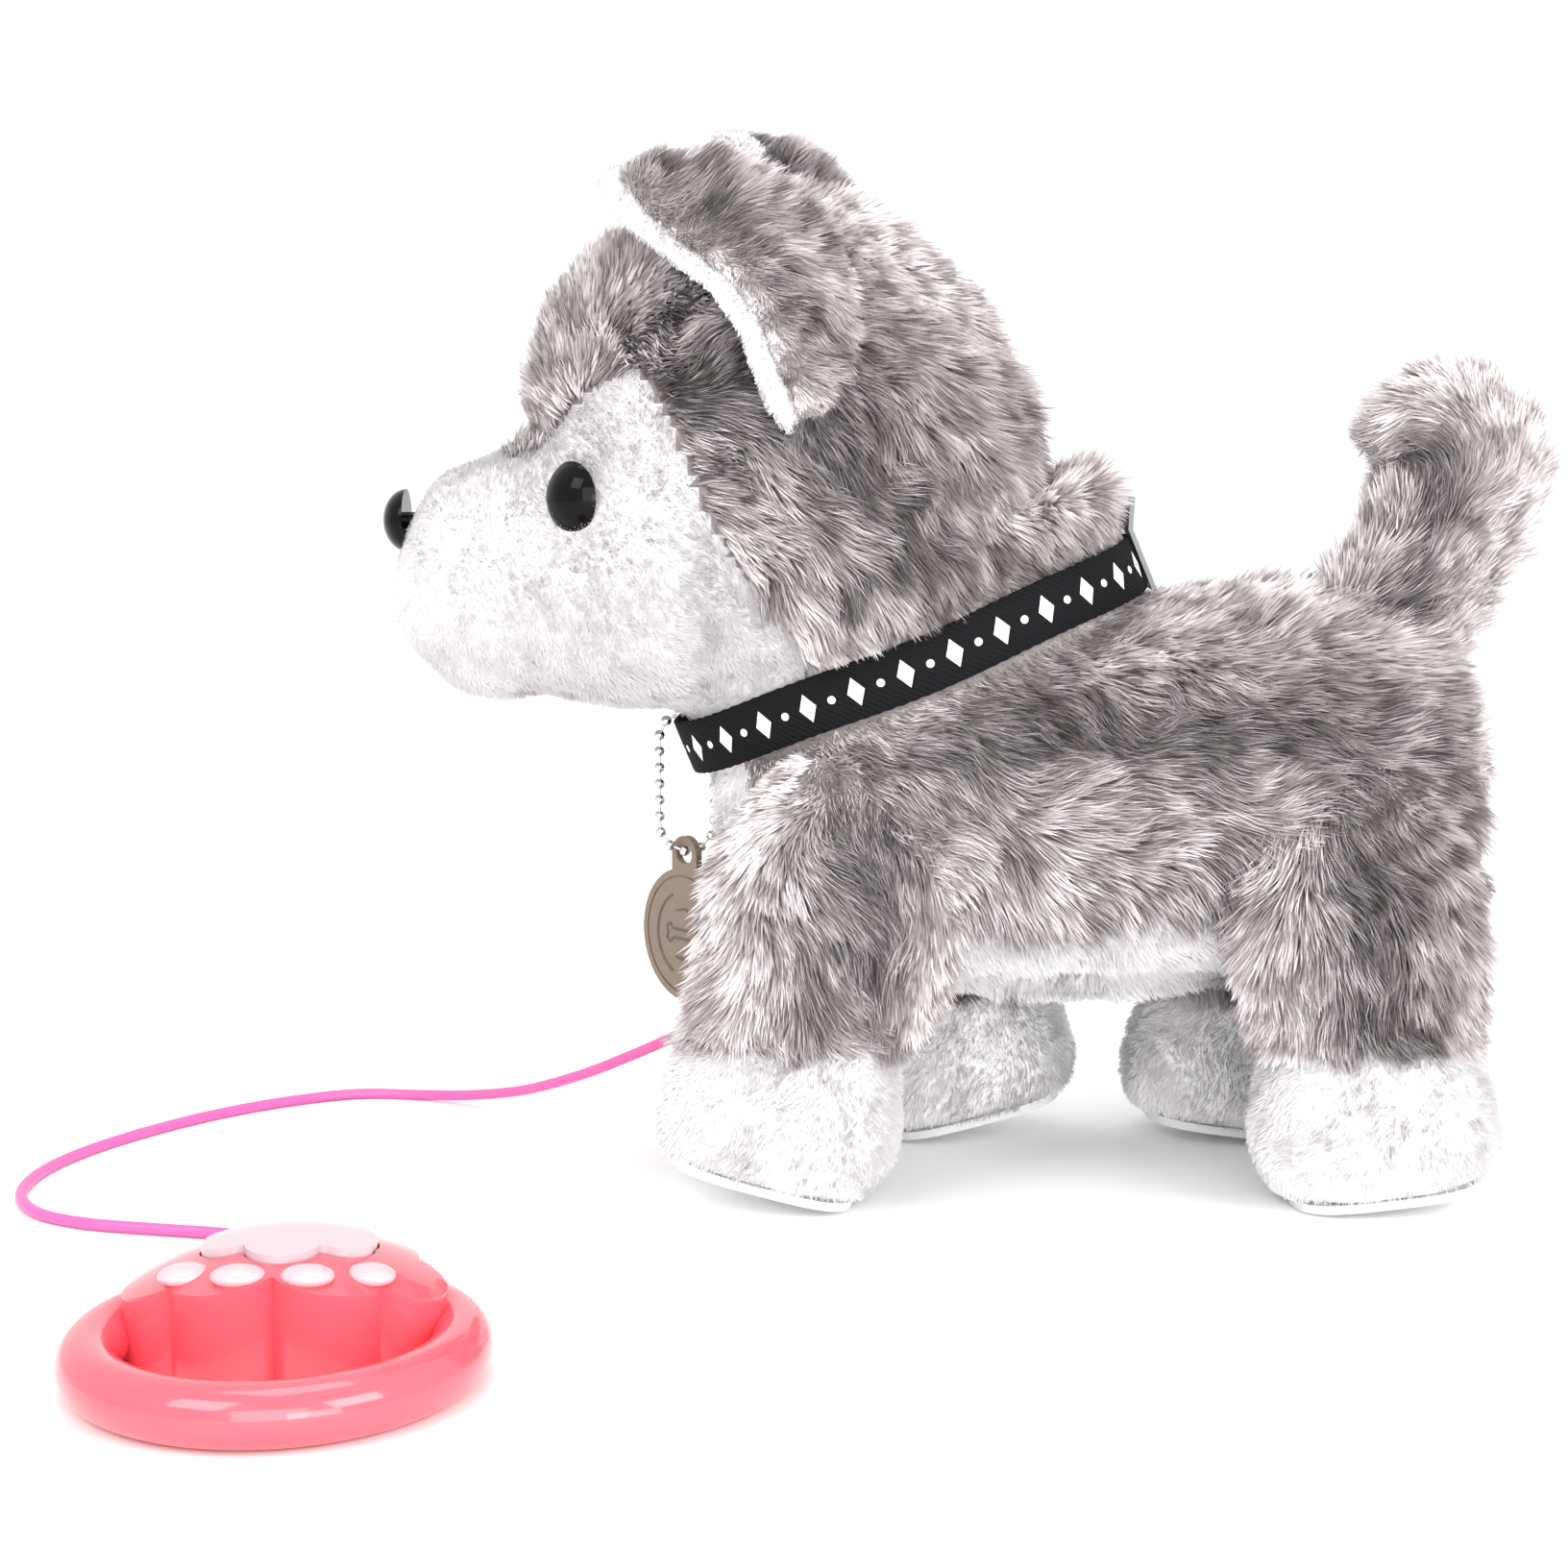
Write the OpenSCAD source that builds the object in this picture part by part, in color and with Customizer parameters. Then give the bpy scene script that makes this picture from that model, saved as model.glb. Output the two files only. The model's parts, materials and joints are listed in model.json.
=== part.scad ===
// Walking plush dog on a chassis with a motor gearbox, led by a corded paw-shaped hand control.
// The dog faces -X with its left side towards -Y; the floor is z = 0 and y = 0 is its middle plane.

/* [Stance] */
// Forward swing of the front left leg at rest, and backward swing of the front right, degrees
front_stance = 15; // [8:1:17]
// Backward swing of the rear left leg at rest, and forward swing of the rear right, degrees
rear_stance = 7; // [4:1:8]

/* [Legs] */
// Hip pivot to the underside of the sole
leg_len = 96.5; // [80:0.5:116]
// Distance between the front and the rear hip axles
wheelbase = 96; // [90:1:116]
// Middle of each foot from the dog's middle plane
foot_y = 29; // [27:0.5:36]
// Length of a sole
sole_len = 40; // [34:1:48]
// Width of a sole
sole_w = 32; // [27:1:36]
// Thickness of the ribbed sole cloth and its board
sole_t = 2; // [1:0.5:3]
// Thickness of a leg's plastic plate
leg_plate_t = 3; // [2:0.5:4]

/* [Chassis] */
// Outside width of the two chassis shells together
chassis_w = 40; // [36:1:44]
// Wall of the chassis shells
chassis_wall = 2; // [1.5:0.1:2.5]
// Diameter of the steel hip axles and of the crank shaft
axle_d = 4; // [3:0.5:5]
// Radial running clearance of every shaft in its bore
running = 0.05; // [0.02:0.01:0.08]

/* [Gears] */
// Module of the crank and second gears
gear_module = 0.8; // [0.7:0.05:0.9]
// Module of the motor pinion and the wheel it drives
pinion_module = 0.6; // [0.5:0.05:0.7]
// Face width of the gears
gear_w = 3; // [2:0.5:3.5]
// Diameter of the gear pins
gear_pin_d = 2; // [1.5:0.25:2.5]
// Crank pins from the shaft's axis
crank_throw = 7.5; // [6:0.25:8]

/* [Plush] */
// Length of the body from chest to rump
body_len = 166; // [158:1:190]
// Width of the body over its fur
body_w = 88; // [84:1:100]
// Height of the head above the collar
head_h = 101; // [95:1:125]
// Width of the head over its fur
head_w = 100; // [90:1:120]
// Cloth and pile together
plush_t = 6; // [5:0.5:7]
// Clipped cloth of the neck under the collar
neck_cloth_t = 2; // [1.5:0.1:2.5]
// Diameter of the tail over its fur
tail_d = 34; // [26:1:40]

/* [Collar and tag] */
// Width of the collar webbing
strap_w = 12; // [10:0.5:15]
// Thickness of the collar webbing
strap_t = 1.2; // [0.8:0.1:2]
// Diameter of the name tag
tag_d = 30; // [24:1:36]
// Thickness of the name tag
tag_t = 1.6; // [1:0.1:2.4]
// Diameter of one chain bead
bead_d = 2.4; // [2:0.1:2.8]

/* [Hand control] */
// Outside diameter of the finger ring
ring_d = 75; // [70:1:92]
// Thickness of the ring
ring_t = 11; // [9:0.5:12]
// Height of the paw-shaped housing
paw_h = 21.5; // [20.5:0.5:26]
// Wall of the housing
paw_wall = 2; // [1.5:0.1:2.5]
// Travel of the pad button
pad_travel = 1.5; // [1:0.1:1.8]
// Gap round the pad button
pad_gap = 0.35; // [0.25:0.05:0.5]

/* [Leash cord] */
// Diameter of the cord
cord_d = 2.5; // [2:0.1:3]

/* [Hidden] */
$fn = 48;
skin_sides = 20;
soft_gap = 0.4;

// Colours
grey_fur = [0.62, 0.60, 0.60];
white_fur = [0.95, 0.95, 0.95];
black = [0.04, 0.04, 0.04];
coral = [1.0, 0.41, 0.47];
blush = [0.93, 0.83, 0.86];
steel = [0.75, 0.76, 0.78];
frame_plastic = [0.85, 0.85, 0.82];
gear_plastic = [0.92, 0.92, 0.88];

// Hips: the lower edge of each tilted sole touches the floor
front_hip = [-wheelbase / 2, leg_len * cos(front_stance) + sole_len / 2 * sin(front_stance)];
rear_hip = [wheelbase / 2, leg_len * cos(rear_stance) + sole_len / 2 * sin(rear_stance)];
axle_r = axle_d / 2;

// Plush places are drawn for a hip height of 98.4 and a chest 80.5 in front of the middle, and follow both
lift = front_hip[1] - 98.4;
chest = 80.5 - (body_len / 2 - 2.5);
side_y = chassis_w / 2;
hub_gap = 0.3;
plate_y = side_y + 4;
plate_out = plate_y + leg_plate_t;
clip_t = 1;
clip_r = axle_r + 2.2;
link_t = 2;
link_y = plate_out + 0.9;
link_pin_r = 1.5;
link_in = 9;
link_out = link_in * sin(front_stance) / sin(rear_stance);

// Crank and gear train, in the XZ plane
crank_below = crank_throw / tan(front_stance);
crank_at = [front_hip[0], front_hip[1] - crank_below];
crank_pin_r = 1.5;
crank_slot_w = 8.4;
crank_disc_t = 2;
crank_teeth = 36;
second_teeth = 32;
small_teeth = 10;
first_teeth = 36;
second_lean = 25;
first_lean = 20;
second_reach = gear_module * (crank_teeth + small_teeth) / 2;
second_at = crank_at + second_reach * [cos(second_lean), sin(second_lean)];
first_reach = gear_module * (second_teeth + small_teeth) / 2;
first_at = second_at + first_reach * [cos(first_lean), sin(first_lean)];
pinion_reach = pinion_module * (first_teeth + small_teeth) / 2;
motor_at = first_at + pinion_reach * [1, 0];
gear_pin_r = gear_pin_d / 2;
crank_gear_y = 1;
second_gear_y = crank_gear_y + gear_w + 1;
first_gear_y = second_gear_y + gear_w + 1;
motor_size = [20, 20, 15];
motor_end_y = second_gear_y - 1.4;

// Chassis outline, clear of the largest gear
chassis_front = crank_at[0] - gear_module * (crank_teeth + 2) / 2 - 1 - chassis_wall;
chassis_back = rear_hip[0] + 14;
chassis_low = crank_at[1] - gear_module * (crank_teeth + 2) / 2 - 1 - chassis_wall;
chassis_top = front_hip[1] + 13;
boss_r = 3;
screw_r = 1.1;
screw_head_r = 2.2;
screw_head_h = 1.6;
screw_len = 24;
screw_in = chassis_wall + boss_r - 0.4;
screw_spots = [[front_hip[0] + 12, chassis_top - screw_in], [28, chassis_top - screw_in],
    [chassis_back - screw_in, chassis_low + 21.5], [-20, chassis_low + screw_in]];

// AA cells lie side by side behind the motor
cell_r = 7.2;
cell_len = 50.5;
cell_y = cell_r + 0.3;
cell_x = chassis_back - chassis_wall - 2.4 - cell_len / 2;
cell_z = chassis_low + chassis_wall + cell_r + 0.4;
bay_len = cell_len + 2;
door_t = 1.6;
door_gap = 0.25;

// Head, neck and collar: the collar lies in a plane that leans forward
collar_lean = 22.5;
collar_at = [-40.5 + chest, 115.5 + lift];
neck_a = 52;
neck_b = 35.5;
collar_gap = 0.5;
head_scale = head_h / 101;
eye_at = [-111.7 + chest, 31.3, 150 + lift];
eye_turn = 45;
eye_r = 7.6;
nose_at = [-150.2 + chest, 144.5 + lift];
shank_r = 1.8;

// Tail
tail_axis_x = rear_hip[0] + 6;
tail_root = [tail_axis_x + 14.5, chassis_top + 17];
tail_lever_r = 3;

// Tag and chain hang over the front of the strap
chain_top = [collar_at[0] - (neck_a + collar_gap + strap_t / 2) * cos(collar_lean),
    collar_at[1] - (neck_a + collar_gap + strap_t / 2) * sin(collar_lean) + strap_w / 2 * cos(collar_lean) + bead_d / 2 + 0.5];
chain_drop = 31;
chain_w = 12;
tag_turn = 50;
tag_tab = 4.4;

// Hand control, standing in front of the dog's left side
remote_at = [-156, -140];
ring_r = ring_t / 2;
ring_mid = ring_d / 2 - ring_r;
ring_z = ring_r + 0.3;
parting_z = 4.5;
dome_r = 55;
paw_mid_y = 12;
pad_lift = pad_travel - 0.1;
pad_floor_z = paw_h - paw_wall - 4.3;
board_z = 9;
switch_h = 2.2;
dome_seat_z = board_z + 1.2;
fit_gap = 0.2;

// Cord route from the chest to the back of the hand control, lying on the floor in between
cord_r = cord_d / 2;
gland_tilt = 50;
gland_at = [-73 + chest, 0, 42 + lift];
cord_route = [[-77, 0, 38.6], [-84, 2, 33.5], [-93, 8, 27.5], [-104, 18, 20.5], [-116, 29, 13.5],
    [-130, 41, 7], [-144, 52, 3], [-158, 59, 1.3], [-174, 60, 1.3], [-190, 52, 1.3],
    [-204, 40, 1.3], [-216, 25, 1.3], [-226, 8, 1.3], [-232, -10, 1.3], [-232, -28, 1.3],
    [-225, -42, 1.3], [-213, -50, 1.3], [-198, -54, 1.3], [-184, -57, 1.3], [-172, -61, 1.4],
    [-162, -68, 2.4], [-157, -77, 4.4], [-156, -86, 6], [-156, -91, 6.5]];

// ---- soft shells: rings swept through a few stations, each [x, z, lean, half_a, half_b]

function signed_pow(v, p) = sign(v) * pow(abs(v), p);
function ring_points(s, y, e, n) = [for (i = [0 : n - 1])
    let (c = signed_pow(cos(360 * i / n), 2 / e), d = signed_pow(sin(360 * i / n), 2 / e))
    [s[0] + s[3] * c * cos(s[2]), y + s[4] * d, s[1] + s[3] * c * sin(s[2])]];
function ring_sides(i, n) = [for (j = [0 : n - 1])
    [i * n + j, (i + 1) * n + j, (i + 1) * n + (j + 1) % n, i * n + (j + 1) % n]];
function tube_faces(m, n) = concat(
    [for (i = [0 : m - 2]) each ring_sides(i, n)],
    [[for (j = [0 : n - 1]) j]],
    [[for (j = [0 : n - 1]) m * n - 1 - j]]);

module loft(stations, y = 0, e = 2.3, n = skin_sides) {
    polyhedron(
        points = [for (s = stations) each ring_points(s, y, e, n)],
        faces = tube_faces(len(stations), n), convexity = 6);
}

// The same stations, drawn in by a wall; the ends move along their own axes
function drawn_in(stations, wall, first, last) = [for (i = [0 : len(stations) - 1])
    let (s = stations[i],
        step = i == 0 ? -first : (i == len(stations) - 1 ? -last : 0))
    [s[0] - step * sin(s[2]), s[1] + step * cos(s[2]),
        s[2], max(s[3] - wall, 1.5), max(s[4] - wall, 1.5)]];

module half_space_above_collar(lift) {
    translate([collar_at[0], -100, collar_at[1]]) rotate([0, -collar_lean, 0])
        translate([-200, 0, lift]) cube([500, 200, 200]);
}

module collar_frame() {
    translate([collar_at[0], 0, collar_at[1]]) rotate([0, -collar_lean, 0]) children();
}

function oval(a, b, n = 48) = [for (i = [0 : n - 1]) [a * cos(360 * i / n), b * sin(360 * i / n)]];

// ---- gears, drawn in XY and stood up on the Y axis

// One trapezoid per tooth on a plain rim
function gear_points(teeth, m) = [for (i = [0 : teeth - 1], k = [0 : 3])
    let (pitch = 360 / teeth, r = m * teeth / 2,
        a = [-0.31, -0.11, 0.11, 0.31][k], q = [r - 1.15 * m, r + 0.85 * m, r + 0.85 * m, r - 1.15 * m][k])
    q * [cos(pitch * (i + a)), sin(pitch * (i + a))]];

module gear(teeth, m, width, turn) {
    linear_extrude(width) rotate(turn) polygon(gear_points(teeth, m));
}

module on_axis(at, y) {
    translate([at[0], y, at[1]]) rotate([90, 0, 0]) mirror([0, 0, 1]) children();
}

module rod(at, r, y0, y1) {
    on_axis(at, y0) cylinder(r = r, h = y1 - y0);
}

// A gear has a gap towards the gear that drives it and a tooth towards the one it drives
module crank_gear() {
    color(gear_plastic) difference() {
        on_axis(crank_at, crank_gear_y)
            gear(crank_teeth, gear_module, gear_w, second_lean + 180 / crank_teeth);
        rod(crank_at, axle_r, crank_gear_y - 1, crank_gear_y + gear_w + 1);
    }
}

module second_gear() {
    color(gear_plastic) difference() {
        union() {
            on_axis(second_at, crank_gear_y)
                gear(small_teeth, gear_module, gear_w + 1, second_lean + 180);
            on_axis(second_at, second_gear_y)
                gear(second_teeth, gear_module, gear_w, first_lean + 180 / second_teeth);
        }
        rod(second_at, gear_pin_r + running, crank_gear_y - 1, second_gear_y + gear_w + 1);
    }
}

module first_gear() {
    color(gear_plastic) difference() {
        union() {
            on_axis(first_at, second_gear_y)
                gear(small_teeth, gear_module, gear_w + 1, first_lean + 180);
            on_axis(first_at, first_gear_y)
                gear(first_teeth, pinion_module, gear_w, 180 / first_teeth);
        }
        rod(first_at, gear_pin_r + running, second_gear_y - 1, first_gear_y + gear_w + 1);
    }
}

module motor_pinion() {
    color(steel) union() {
        on_axis(motor_at, first_gear_y) gear(small_teeth, pinion_module, gear_w + 1, 180);
        rod(motor_at, 1, motor_end_y - 6, first_gear_y + 1);
    }
}

module crank_shaft() {
    color(steel) rod(crank_at, axle_r, -side_y - 0.4 - crank_disc_t, side_y + 0.4 + crank_disc_t);
}

// Two discs, their pins half a turn apart; the left one's pin is forward
module crank_discs() {
    color(gear_plastic) for (s = [-1, 1]) {
        difference() {
            rod(crank_at, crank_throw + crank_pin_r + 1.5,
                s < 0 ? -side_y - 0.4 - crank_disc_t : side_y + 0.4,
                s < 0 ? -side_y - 0.4 : side_y + 0.4 + crank_disc_t);
            rod(crank_at, axle_r, s < 0 ? -side_y - 5 : side_y - 1, s < 0 ? -side_y + 1 : side_y + 5);
        }
        rod(crank_at + [s * crank_throw, 0], crank_pin_r,
            s < 0 ? -plate_out - 0.5 : side_y + 0.6, s < 0 ? -side_y - 0.6 : plate_out + 0.5);
    }
}

module gear_pins() {
    color(steel) for (at = [first_at, second_at]) rod(at, gear_pin_r, -side_y + 0.4, side_y - 0.4);
}

module motor() {
    color(steel) difference() {
        union() {
            intersection() {
                translate([motor_at[0] - motor_size[0] / 2, motor_end_y - motor_size[1],
                    motor_at[1] - motor_size[2] / 2]) cube(motor_size);
                rod(motor_at, motor_size[0] / 2, motor_end_y - motor_size[1] - 1, motor_end_y + 1);
            }
            rod(motor_at, 3, -side_y + chassis_wall, motor_end_y - motor_size[1] + 1);
        }
        rod(motor_at, 1 + running, motor_end_y - 6.4, motor_end_y + 1);
    }
}

// ---- chassis

module chassis_outline(d) {
    polygon([[chassis_front + d, chassis_low + d], [chassis_back - 4 - d / 2, chassis_low + d],
        [chassis_back - d, chassis_low + 5], [chassis_back - d, chassis_top - 7],
        [chassis_back - 6 - d / 2, chassis_top - d], [chassis_front + 16, chassis_top - d],
        [chassis_front + 8 + d / 2, chassis_top - 8], [chassis_front + d, chassis_top - 21]]);
}

module battery_opening(grow) {
    translate([cell_x - bay_len / 2 - grow, -2 * cell_r - 1 - grow, chassis_low - 1])
        cube([bay_len + 2 * grow, 4 * cell_r + 2 + 2 * grow, chassis_wall + 2]);
}

// One shell, from the middle plane out to its side wall; s is -1 on the left and 1 on the right
module chassis_half(s) {
    lo = s < 0 ? -side_y : 0;
    color(frame_plastic) difference() {
        union() {
            difference() {
                on_axis([0, 0], lo) linear_extrude(side_y) chassis_outline(0);
                on_axis([0, 0], s < 0 ? -side_y + chassis_wall : -1)
                    linear_extrude(side_y - chassis_wall + 1) chassis_outline(chassis_wall);
            }
            for (at = screw_spots) rod(at, boss_r, s < 0 ? -side_y + 0.5 : 0, s < 0 ? 0 : side_y - 0.5);
            intersection() {
                translate([tail_axis_x, 0, chassis_top - 9]) cylinder(r = tail_lever_r + 2, h = 8);
                translate([0, lo, 0]) cube([200, side_y, 200]);
            }
        }
        for (at = [front_hip, rear_hip, crank_at]) rod(at, axle_r + running, lo - 1, lo + side_y + 1);
        for (at = [first_at, second_at]) rod(at, gear_pin_r + running, lo - 1, lo + side_y + 1);
        for (at = screw_spots) {
            rod(at, screw_r + (s < 0 ? 0.2 : 0.03), lo - 1, s < 0 ? 1 : screw_len - side_y + 1);
            rod(at, screw_head_r + 0.2, -side_y - 1, -side_y + screw_head_h + 0.1);
        }
        translate([tail_axis_x, 0, chassis_top - 10])
            cylinder(r = tail_lever_r + running, h = 20);
        battery_opening(door_gap);
        for (x = [-8 : 4 : 8], y = [3 : 4 : 11])
            translate([x + 4, s * y, chassis_top - 4]) cylinder(r = 0.9, h = 8);
    }
}

module chassis_left() { chassis_half(-1); }
module chassis_right() { chassis_half(1); }

module chassis_screws() {
    color(steel) for (at = screw_spots) difference() {
        union() {
            rod(at, screw_head_r, -side_y, -side_y + screw_head_h);
            rod(at, screw_r, -side_y + 0.5, -side_y + screw_len);
        }
        translate([at[0] - 1.6, -side_y - 0.1, at[1] - 0.3]) cube([3.2, 1, 0.6]);
        translate([at[0] - 0.3, -side_y - 0.1, at[1] - 1.6]) cube([0.6, 1, 3.2]);
    }
}

module battery_door() {
    color(frame_plastic) translate([cell_x - bay_len / 2, -2 * cell_r - 1, chassis_low])
        cube([bay_len, 4 * cell_r + 2, door_t]);
}

module battery_cells() {
    color([0.2, 0.45, 0.35]) for (s = [-1, 1])
        translate([cell_x - cell_len / 2, s * cell_y, cell_z]) rotate([0, 90, 0]) {
            cylinder(r = cell_r, h = cell_len - 1);
            translate([0, 0, cell_len - 1.5]) cylinder(r = 2.7, h = 1.5);
        }
}

// Two plates at the front end and one strap that bridges the cells behind
module battery_contacts() {
    color(steel) {
        for (s = [-1, 1]) translate([cell_x - cell_len / 2 - 0.7, s * cell_y - 4, cell_z - 4])
            cube([0.5, 8, 8]);
        translate([cell_x + cell_len / 2 + 0.2, -cell_y - 4, cell_z - 4])
            cube([0.5, 2 * cell_y + 8, 8]);
    }
}

module leg_axles() {
    color(steel) for (at = [front_hip, rear_hip])
        rod(at, axle_r, -plate_out - 0.3 - clip_t - 0.6, plate_out + 0.3 + clip_t + 0.6);
}

module axle_clips() {
    color(black) for (at = [front_hip, rear_hip], s = [-1, 1]) difference() {
        rod(at, clip_r, s < 0 ? -plate_out - 0.3 - clip_t : plate_out + 0.3,
            s < 0 ? -plate_out - 0.3 : plate_out + 0.3 + clip_t);
        rod(at, axle_r, s * (plate_out + 1) - 3, s * (plate_out + 1) + 3);
    }
}

// Board on edge beside the gear train, with a sound chip and two capacitors
module main_board() {
    y = -side_y + chassis_wall + 2;
    z = cell_z + cell_r + 1.5;
    color([0.1, 0.4, 0.2]) translate([motor_at[0] + motor_size[0] / 2 + 4, y, z]) {
        cube([26, 1.2, 17]);
        translate([4, 1.2, 4]) cube([7, 1.2, 7]);
        for (x = [16, 22]) translate([x, 1.2, 11]) rotate([-90, 0, 0]) cylinder(r = 2, h = 5);
    }
}

module speaker() {
    color(black) translate([4, 0, chassis_top - chassis_wall - 5.2]) difference() {
        union() {
            cylinder(r = 14, h = 2.2);
            translate([0, 0, 2]) cylinder(r = 15, h = 3);
        }
        translate([0, 0, 3]) cylinder(r1 = 4, r2 = 12.5, h = 2.1);
    }
}

// ---- legs and links

module at_hip(hip, angle) {
    translate([hip[0], 0, hip[1]]) rotate([0, angle, 0]) children();
}

// Plate drawn in XZ about its hip; the foot block reaches out to the sole's middle
module leg_frame(s, front) {
    y0 = s < 0 ? -plate_out : plate_y;
    foot_top = -leg_len + sole_t + 8;
    inset = plush_t + 3;
    difference() {
        union() {
            on_axis([0, 0], y0) linear_extrude(leg_plate_t) union() {
                circle(r = axle_r + 4.5);
                translate([-9.5, -crank_below - crank_throw - 6])
                    square([19, crank_throw + crank_below + 6 - axle_r]);
                translate([-5, foot_top - 1]) square([10, leg_len - 20]);
                if (front) translate([-3.5, 0]) square([7, link_in + 3]);
            }
            rod([0, 0], axle_r + 3, s < 0 ? -plate_y - 1 : side_y + hub_gap,
                s < 0 ? -side_y - hub_gap : plate_y + 1);
            translate([-5, s < 0 ? -foot_y - 5 : plate_y, -leg_len + sole_t])
                cube([10, foot_y + 5 - plate_y, 10]);
            translate([-sole_len / 2 + inset, s * foot_y - sole_w / 2 + inset, -leg_len + sole_t])
                cube([sole_len - 2 * inset, sole_w - 2 * inset, 3]);
            rod([0, front ? link_in : -link_out], link_pin_r, s < 0 ? -link_y - link_t - 0.2 : plate_out - 1,
                s < 0 ? -plate_out + 1 : link_y + link_t + 0.2);
        }
        rod([0, 0], axle_r + running, s * side_y - 20, s * side_y + 20);
        if (front) {
            for (z = [-crank_below + crank_throw - 2, -crank_below - crank_throw])
                rod([0, z], crank_slot_w / 2, s * plate_y - 5, s * plate_y + 5);
            translate([-crank_slot_w / 2, s * plate_y - 5, -crank_below - crank_throw])
                cube([crank_slot_w, 10, 2 * crank_throw - 2]);
        }
    }
}

module front_left_leg() { color(frame_plastic) at_hip(front_hip, front_stance) leg_frame(-1, true); }
module front_right_leg() { color(frame_plastic) at_hip(front_hip, -front_stance) leg_frame(1, true); }
module rear_left_leg() { color(frame_plastic) at_hip(rear_hip, -rear_stance) leg_frame(-1, false); }
module rear_right_leg() { color(frame_plastic) at_hip(rear_hip, rear_stance) leg_frame(1, false); }

// Rod from a front leg's pin above the hip to a rear leg's pin below it
module link(s) {
    front_pin = front_hip + link_in * [-s * sin(front_stance), cos(front_stance)];
    rear_pin = rear_hip + link_out * [-s * sin(rear_stance), -cos(rear_stance)];
    y0 = s < 0 ? -link_y - link_t : link_y;
    span = rear_pin - front_pin;
    lean = atan2(span[1], span[0]);
    color(gear_plastic) difference() {
        union() {
            for (at = [front_pin, rear_pin]) rod(at, 4, y0, y0 + link_t);
            on_axis(front_pin, y0) linear_extrude(link_t) rotate(lean)
                translate([0, -2.5]) square([norm(span), 5]);
        }
        rod(front_pin, link_pin_r + running, y0 - 1, y0 + link_t + 1);
        rod(rear_pin, link_pin_r + 0.8, y0 - 1, y0 + link_t + 1);
    }
}

module link_left() { link(-1); }
module link_right() { link(1); }

// Height of a sleeve above its sole
sleeve_h = leg_len - 43.5;

// Plush sleeve of one leg from the thigh down to the paw, about its hip
function sleeve_stations(d) = let (z = -leg_len + sole_t, a = sole_len / 2, b = sole_w / 2) [
    [0, z + 0.2, 0, a + 1 - d, b + 1 - d], [0, z + 3, 0, a + 4 - d, b + 3 - d],
    [0, z + 9, 0, a + 5 - d, b + 3.5 - d], [0, z + 17, 0, a + 4.5 - d, b + 3.5 - d],
    [0, z + 25, 0, a + 1 - d, b + 2 - d], [0, z + 32, 0, a - 1 - d, b + 1 - d],
    [0, z + sleeve_h - 11, 0, a + 2 - d, b + 1.5 - d], [0, z + sleeve_h, 0, a + 4 - d, b + 1 - d]];

// Notch in the thigh that passes the chassis over the whole stride
sleeve_notch = 0.8;
sleeve_notch_z = (chassis_low - front_hip[1] - 0.6 - (sole_len / 2 + 4) * sin(front_stance)) / cos(front_stance);

module sleeve(s) {
    outer = sleeve_stations(0);
    difference() {
        loft(outer, s * foot_y);
        loft(drawn_in(outer, plush_t, 1, -1), s * foot_y);
        translate([-50, s < 0 ? -side_y - sleeve_notch : 0, sleeve_notch_z])
            cube([100, side_y + sleeve_notch, 50]);
    }
}

module sole(s) {
    translate([0, s * foot_y, -leg_len]) linear_extrude(sole_t)
        polygon([for (i = [0 : 31]) let (c = signed_pow(cos(360 * i / 32), 0.6), d = signed_pow(sin(360 * i / 32), 0.6))
            [sole_len / 2 * c, sole_w / 2 * d]]);
}

module front_left_sleeve() { color(white_fur) at_hip(front_hip, front_stance) sleeve(-1); }
module front_right_sleeve() { color(white_fur) at_hip(front_hip, -front_stance) sleeve(1); }
module rear_left_sleeve() { color(white_fur) at_hip(rear_hip, -rear_stance) sleeve(-1); }
module rear_right_sleeve() { color(white_fur) at_hip(rear_hip, rear_stance) sleeve(1); }
module front_left_sole() { color(white_fur) at_hip(front_hip, front_stance) sole(-1); }
module front_right_sole() { color(white_fur) at_hip(front_hip, -front_stance) sole(1); }
module rear_left_sole() { color(white_fur) at_hip(rear_hip, -rear_stance) sole(-1); }
module rear_right_sole() { color(white_fur) at_hip(rear_hip, rear_stance) sole(1); }

// ---- body plush

// Rings across the body from rump to chest
function body_stations(d) = let (h = body_len / 2 + 1, f = body_len / 2 - 2.5, w = body_w / 2, z = lift) [
    [h - d, z + 76, 90, 20 - d / 2, w * 0.45 - d / 2], [h - 3 - d, z + 78, 90, 32 - d, w * 0.74 - d],
    [h - 12, z + 81, 90, 42 - d, w * 0.93 - d], [h - 32, z + 83, 90, 48 - d, w - d],
    [20, z + 84, 90, 48 - d, w - d], [-20, z + 84, 90, 48 - d, w - d],
    [-f + 34, z + 82, 90, 45 - d, w * 0.97 - d], [-f + 14, z + 76, 90, 37 - d, w * 0.8 - d],
    [-f + 4 + d, z + 74, 90, 26 - d, w * 0.5 - d], [-f + d, z + 73, 90, 14 - d / 2, w * 0.28 - d / 2]];

// Room for a pair of legs: the sleeve's top edge swept over the swing, with a gap
module leg_room(hip, stance) {
    top = hip[1] + (-leg_len + sole_t + sleeve_h) * cos(stance) + (sole_len / 2 + 4) * sin(stance) + 2;
    reach = (leg_len - sole_t - sleeve_h) * sin(stance) + (sole_len / 2 + 5) * cos(stance) + 3;
    for (s = [-1, 1])
        translate([hip[0] - reach, s < 0 ? -100 : foot_y - sole_w / 2 - 5, -10])
            cube([2 * reach, 105 - foot_y + sole_w / 2, top + 10]);
}

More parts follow.
